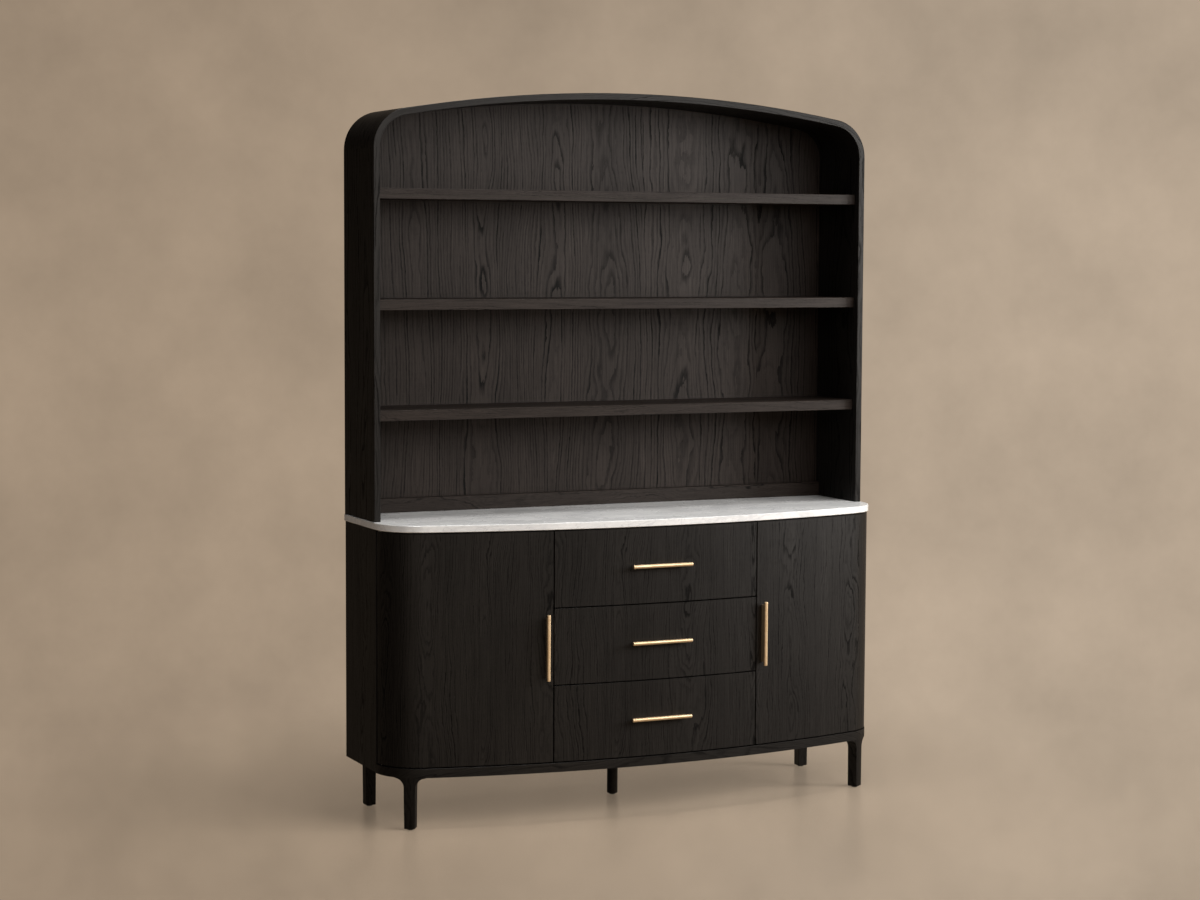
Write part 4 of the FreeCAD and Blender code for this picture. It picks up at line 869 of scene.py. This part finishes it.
def model_bolt():
    """Leg bolt with a hexagon socket, its head's face at the origin and its shank below."""
    bolt = start_piece("bolt", bpy.ops.mesh.primitive_cylinder_add, vertices=32, radius=BOLT_HEAD_RADIUS,
                       depth=BOLT_HEAD_HEIGHT, location=(0, 0, -BOLT_HEAD_HEIGHT / 2))
    with editing(bolt):
        pick(bolt, "FACE", lambda middle, way: way.z < -0.9)
        bpy.ops.mesh.inset(thickness=BOLT_HEAD_RADIUS - BOLT_RADIUS)
        shank = {"value": (0, 0, BOLT_HEAD_HEIGHT - BOLT_LENGTH)}
        bpy.ops.mesh.extrude_region_move(TRANSFORM_OT_translate=shank)
        pick(bolt, "FACE", lambda middle, way: way.z > 0.9)
        bpy.ops.mesh.bevel(offset=BOLT_EDGE, segments=2, affect="EDGES")
    socket = start_piece("socket", bpy.ops.mesh.primitive_cylinder_add, vertices=6, radius=BOLT_SOCKET_RADIUS,
                         depth=BOLT_SOCKET_DEPTH * 2)
    combine_pieces(bolt, socket, "DIFFERENCE")
    smooth_by_angle(bolt)
    return bolt


def leg_bolt_seats():
    """The heads of the leg bolts on the deck, two to a leg."""
    seats = []
    turn = math.radians(FRONT_LEG_TURN)
    for step in (-1, 1):
        shift = BOLT_SPREAD * step
        seats.append((shift, CENTRE_LEG_Y))
        for side in (-1, 1):
            seats.append((REAR_LEG_X * side + shift, REAR_LEG_Y))
            across = CORNER_X + FRONT_LEG_REACH * math.sin(turn) + shift * math.cos(turn)
            back = CORNER_Y - FRONT_LEG_REACH * math.cos(turn) + shift * math.sin(turn)
            seats.append((across * side, back))
    deck_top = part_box("base_deck")[1].z
    return [((x, y, deck_top), Z_AXIS) for x, y in seats]


def pivot_plate_seats():
    """Two screws in the tail of each pivot plate, above and below."""
    low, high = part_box("door_pivot_plates")
    seats = []
    for reach in PIVOT_SCREWS:
        for side in (-1, 1):
            x = (PIVOT_X - reach) * side
            seats.append(((x, PIVOT_Y, low.z + PIVOT_PLATE_THICKNESS), Z_AXIS))
            seats.append(((x, PIVOT_Y, high.z - PIVOT_PLATE_THICKNESS), -Z_AXIS))
    return seats


def slide_seats(drawer, wall_x, facing):
    """Three screws in each of a drawer's slides, on the walls at one distance from the middle."""
    low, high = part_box("drawer_%s_slide_members" % drawer)
    z = (low.z + high.z) / 2
    return [((wall_x * side, low.y + (high.y - low.y) * share, z), X_AXIS * side * facing)
            for share in SLIDE_SCREW_SHARES for side in (-1, 1)]


def catch_seats():
    low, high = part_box("door_catches")
    middle_x = (bay_inner() + high.x) / 2
    return [((middle_x * side, low.y + (high.y - low.y) * share, low.z), -Z_AXIS)
            for side in (-1, 1) for share in CATCH_SCREW_SHARES]


def hutch_back_seats():
    """Screws through the hutch's back into the rail and the three shelves."""
    rear_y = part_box("hutch_back_panel")[1].y
    boards = ["hutch_back_rail"] + ["hutch_shelf_" + level for level in SHELVES]
    return [((x * side, rear_y, middle_of(board).z), Y_AXIS)
            for board in boards for x in BACK_SCREW_X for side in (-1, 1)]


def base_back_seats():
    """Screws through the base's back into the partitions."""
    low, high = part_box("base_back_panel")
    x = middle_of("partition_right").x
    return [((x * side, high.y, low.z + (high.z - low.z) * share), Y_AXIS)
            for share in BASE_BACK_SCREW_SHARES for side in (-1, 1)]


def pull_screw_seats(handle, upright):
    """Two screws behind a pull, on the inner face of its front."""
    middle = middle_of(handle)
    seats = []
    for shift in (-PULL_SCREW_SPREAD / 2, PULL_SCREW_SPREAD / 2):
        if upright:
            x, z = math.copysign(PULL_DOOR_X, middle.x), middle.z + shift
        else:
            x, z = shift, middle.z
        seat, out = bow_place(x, FRONT_INSET + FRONT_THICKNESS, z)
        seats.append((seat, -out))
    return seats


def bay_inner():
    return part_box("partition_right")[1].x


def fit_screws():
    screw = model_screw()
    bolt = model_bolt()
    fit_many(bolt, "leg_bolts_socketed", "case", "steel", ZINC, leg_bolt_seats(), "leg_bolts")
    in_case = {"pivot_plate_screws": pivot_plate_seats(), "catch_screws": catch_seats(),
               "hutch_back_screws": hutch_back_seats(), "base_back_screws": base_back_seats()}
    for name, seats in in_case.items():
        fit_many(screw, name, "case", "steel", ZINC, seats)
    rail_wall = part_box("drawer_slide_rails")[1].x - SLIDE_WALL
    for drawer in DRAWERS:
        box_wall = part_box("drawer_%s_side_right" % drawer)[1].x + SLIDE_WALL
        on_drawer = {"rail": ("case", slide_seats(drawer, rail_wall, -1)),
                     "member": ("drawer_" + drawer, slide_seats(drawer, box_wall, 1)),
                     "pull": ("drawer_" + drawer, pull_screw_seats("drawer_%s_handle" % drawer, False))}
        for part, (body, seats) in on_drawer.items():
            fit_many(screw, "drawer_%s_%s_screws" % (drawer, part), body, "steel", ZINC, seats)
    for side in SIDES:
        fit_many(screw, "door_%s_pull_screws" % side, "door_" + side, "steel", ZINC,
                 pull_screw_seats("door_%s_handle" % side, True))
    bpy.data.objects.remove(screw)
    bpy.data.objects.remove(bolt)


# Plates, magnets and bumpers
def fit_tie_plates():
    """Steel plates behind the stone, with countersunk holes and flush screws."""
    low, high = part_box("hutch_tie_plates")
    plate = start_piece("tie_plate", bpy.ops.mesh.primitive_cube_add, size=1,
                        location=(0, (low.y + high.y) / 2, (low.z + high.z) / 2),
                        scale=(TIE_WIDTH, high.y - low.y, high.z - low.z))
    with editing(plate):
        pick(plate, "EDGE", lambda middle, way: abs(way.y) > max(abs(way.x), abs(way.z)))
        bpy.ops.mesh.bevel(offset=TIE_CORNER, segments=6, affect="EDGES")
        pick(plate, "EDGE", lambda middle, way: middle.y > high.y - TIE_EASE and abs(way.y) < TIE_EASE)
        bpy.ops.mesh.bevel(offset=TIE_EASE, segments=2, affect="EDGES")
    holes = [(x, low.z + (high.z - low.z) * share)
             for x in (-TIE_SCREW_X, TIE_SCREW_X) for share in TIE_SCREW_SHARES]
    for x, z in holes:
        sink = start_piece("sink", bpy.ops.mesh.primitive_cone_add, vertices=32, radius1=SINK_ROOT,
                           radius2=SINK_RADIUS + SINK_PLAY, depth=SINK_DEPTH + SINK_PLAY * 2,
                           rotation=(-math.pi / 2, 0, 0), location=(x, high.y - SINK_DEPTH / 2, z))
        combine_pieces(plate, sink, "DIFFERENCE")
    smooth_by_angle(plate)
    screw = model_flat_screw()
    middle_x = high.x - TIE_WIDTH / 2
    stands_for = ["hutch_tie_plates"]
    for side, place_x in zip(SIDES, (-middle_x, middle_x)):
        piece = copy_piece(plate, "tie_plate_" + side, Matrix.Translation((place_x, 0, 0)))
        fit_piece(piece, "case", "steel", ZINC, *stands_for)
        stands_for = []
        seats = [((place_x + x, high.y - SINK_PLAY, z), Y_AXIS) for x, z in holes]
        fit_many(screw, "tie_plate_%s_screws" % side, "case", "steel", ZINC, seats)
    bpy.data.objects.remove(plate)
    bpy.data.objects.remove(screw)


def fit_catch_poles():
    """Two thin poles on the face of each magnet, just short of the door's strike."""
    low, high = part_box("door_catches")
    pole = start_piece("pole", bpy.ops.mesh.primitive_cube_add, size=1, scale=POLE_SIZE)
    with editing(pole):
        bpy.ops.mesh.bevel(offset=POLE_EASE, segments=2, affect="EDGES")
    smooth_by_angle(pole)
    middle_x = (bay_inner() + high.x) / 2
    middle_z = (low.z + high.z) / 2
    y = low.y - POLE_PROUD + POLE_SIZE[2] / 2
    seats = [((middle_x * side, y, middle_z + POLE_SPREAD * step), -Y_AXIS)
             for side in (-1, 1) for step in (-1, 1)]
    fit_many(pole, "catch_poles", "case", "steel", ZINC, seats, spin=0.0)
    bpy.data.objects.remove(pole)


def model_bumper(height):
    """Soft button with a domed face, its back at the origin."""
    bumper = start_piece("bumper", bpy.ops.mesh.primitive_cylinder_add, vertices=32, radius=BUMPER_RADIUS,
                         depth=height, location=(0, 0, height / 2))
    with editing(bumper):
        pick(bumper, "EDGE", lambda middle, way: middle.z > height * 0.9)
        bpy.ops.mesh.bevel(offset=BUMPER_DOME, segments=5, affect="EDGES")
    smooth_by_angle(bumper)
    return bumper


def bumper_seats(front, places_x):
    low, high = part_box(front)
    seats = []
    for x in places_x:
        for share in BUMPER_SHARES:
            seat, out = bow_place(x, FRONT_INSET + FRONT_THICKNESS, low.z + (high.z - low.z) * share)
            seats.append((seat, -out))
    return seats


def fit_bumpers():
    for_door = model_bumper(DOOR_BUMPER_HEIGHT)
    for_drawer = model_bumper(DRAWER_BUMPER_HEIGHT)
    for side, x in zip(SIDES, (-DOOR_BUMPER_X, DOOR_BUMPER_X)):
        fit_many(for_door, "door_%s_bumpers" % side, "door_" + side, "dark_nylon", NYLON,
                 bumper_seats("door_" + side, (x,)))
    for drawer in DRAWERS:
        fit_many(for_drawer, "drawer_%s_bumpers" % drawer, "drawer_" + drawer, "dark_nylon", NYLON,
                 bumper_seats("drawer_%s_front" % drawer, (-DRAWER_BUMPER_X, DRAWER_BUMPER_X)))
    bpy.data.objects.remove(for_door)
    bpy.data.objects.remove(for_drawer)


fit_pulls()
fit_screws()
fit_tie_plates()
fit_catch_poles()
fit_bumpers()


# The studio
def make_floor():
    """A wide round floor that fades into the backdrop away from the piece."""
    bpy.ops.mesh.primitive_circle_add(vertices=96, radius=FLOOR_RADIUS, fill_type="NGON", location=(0, 0, 0))
    floor = bpy.context.object
    floor.name = floor.data.name = "studio_floor"
    material, tree, shader, place = new_finish("studio_floor")
    level_turn = (0, 0, -math.radians(CAMERA_TURN))
    seen_flat = add_node(tree, "ShaderNodeMapping", {"Vector": place, "Rotation": level_turn})
    sideways = separate(tree, seen_flat.outputs[0])[0]
    way = vector_maths(tree, "SUBTRACT", place, CAMERA_PLACE)
    paper = use_effect(tree, BACKDROP_SHADE, Way=way)["Color"]
    # Painted light and shade on the near floor: it darkens a little towards both sides, and is painted
    # lighter on the left and darker on the right to even out the softboxes
    near = remap(tree, vector_maths(tree, "LENGTH", place), *FLOOR_FADE, 1.0, 0.0, smooth=True)
    pool = remap(tree, times(tree, sideways, sideways), 0.0, 2.4, 0.05, -0.16)
    paper = shade(tree, paper, maths(tree, "MULTIPLY_ADD", pool, near, 1.0))
    evened = shade(tree, paper, remap(tree, sideways, -1.2, 1.4, 1.34, 0.95, smooth=True))
    tree.links.new(evened, shader.inputs["Base Color"])
    shader.inputs["Roughness"].default_value = FLOOR_ROUGHNESS
    shader.inputs["Specular IOR Level"].default_value = FLOOR_SHINE
    # Painted reflections: glossy rays see the floor glow, bright on the key's side and dark on the other
    lit_side = vector_maths(tree, "DOT_PRODUCT", vector_maths(tree, "NORMALIZE", place), TO_KEY)
    mirrored = times(tree, remap(tree, lit_side, -0.55, -0.10, 0.40, 1.7, smooth=True),
                     remap(tree, lit_side, 0.10, 0.60, 1.0, 0.50, smooth=True))
    glow = add_node(tree, "ShaderNodeEmission", {"Color": paper, "Strength": mirrored}).outputs[0]
    # Away from the piece and from beneath the backdrop shows through
    rays = tree.nodes.new("ShaderNodeLightPath").outputs
    clear = tree.nodes.new("ShaderNodeBsdfTransparent").outputs[0]
    beneath = tree.nodes.new("ShaderNodeNewGeometry").outputs["Backfacing"]
    open_share = maths(tree, "MAXIMUM", remap(tree, near, 0.0, 1.0, 1.0, FLOOR_OPEN), beneath)
    # Each point is either open or closed, in fine grains, so that the fade leaves no ring
    grain = add_node(tree, "ShaderNodeTexWhiteNoise", {"Vector": place}, noise_dimensions="3D")
    opened = maths(tree, "LESS_THAN", grain.outputs["Value"], open_share)
    seen = mix_shaders(tree, times(tree, opened, rays["Is Camera Ray"]), shader.outputs[0], clear)
    surface = mix_shaders(tree, rays["Is Glossy Ray"], seen, glow)
    tree.links.new(surface, tree.nodes["Material Output"].inputs["Surface"])
    give_finish(floor, material)


def make_world():
    """Warm paper for the camera and for reflections, and a dim room for the light."""
    world = bpy.data.worlds.new("studio")
    bpy.context.scene.world = world
    world.use_nodes = True
    tree = world.node_tree
    way = tree.nodes.new("ShaderNodeTexCoord").outputs["Generated"]
    paper = use_effect(tree, BACKDROP_SHADE, Way=way)["Color"]

    def lit(colour, strength):
        return add_node(tree, "ShaderNodeBackground", {"Color": colour, "Strength": strength}).outputs[0]

    # Painted reflections: glossy rays see the world bright behind the piece, on the key's side and round the
    # camera
    away = vector_maths(tree, "DOT_PRODUCT", way, AWAY)
    behind = remap(tree, away, 0.80, 0.97, 0.02, 1.0, smooth=True)
    keyed = remap(tree, vector_maths(tree, "DOT_PRODUCT", way, TO_KEY), 0.35, 0.95, 0.0, 1.6, smooth=True)
    facing = remap(tree, away, -0.74, -0.96, 0.0, 1.6, smooth=True)
    mirrored = lit(paper, plus(tree, plus(tree, behind, keyed), facing))
    rays = tree.nodes.new("ShaderNodeLightPath").outputs
    shiny = maths(tree, "MAXIMUM", rays["Is Glossy Ray"], rays["Is Transmission Ray"])
    unseen = mix_shaders(tree, shiny, lit(ROOM_COLOUR, ROOM_LEVEL), mirrored)
    surface = mix_shaders(tree, rays["Is Camera Ray"], unseen, lit(paper, 1.0))
    tree.links.new(surface, tree.nodes["World Output"].inputs["Surface"])


def make_lights():
    """Softboxes in a ring, each turned to the middle of the piece."""
    target = Vector((0, 0, LIGHT_HEIGHT))
    for name, (turn, climb, width, height, power) in SOFTBOXES.items():
        turn, climb = math.radians(turn), math.radians(climb)
        way = Vector((math.sin(turn), -math.cos(turn), math.tan(climb))).normalized()
        lamp = bpy.data.lights.new(name, "AREA")
        lamp.shape = "RECTANGLE"
        lamp.size = width
        lamp.size_y = height
        lamp.energy = power
        lamp.color = LIGHT_COLOUR
        holder = bpy.data.objects.new(name, lamp)
        bpy.context.scene.collection.objects.link(holder)
        holder.location = target + way * LIGHT_REACH
        holder.rotation_euler = (-way).to_track_quat("-Z", "Y").to_euler()


def make_camera():
    camera = bpy.data.objects.new("camera", bpy.data.cameras.new("camera"))
    bpy.context.scene.collection.objects.link(camera)
    camera.data.lens = CAMERA_LENS
    camera.data.sensor_fit = "HORIZONTAL"
    aim = (Matrix.Rotation(math.radians(CAMERA_TURN), 4, "Z")
           @ Matrix.Rotation(math.radians(90 - CAMERA_TILT), 4, "X")
           @ Matrix.Rotation(math.radians(CAMERA_ROLL), 4, "Z"))
    camera.matrix_world = Matrix.Translation(CAMERA_PLACE) @ aim
    bpy.context.scene.camera = camera


make_floor()
make_world()
make_lights()
make_camera()
bpy.context.scene.view_settings.view_transform = "Standard"
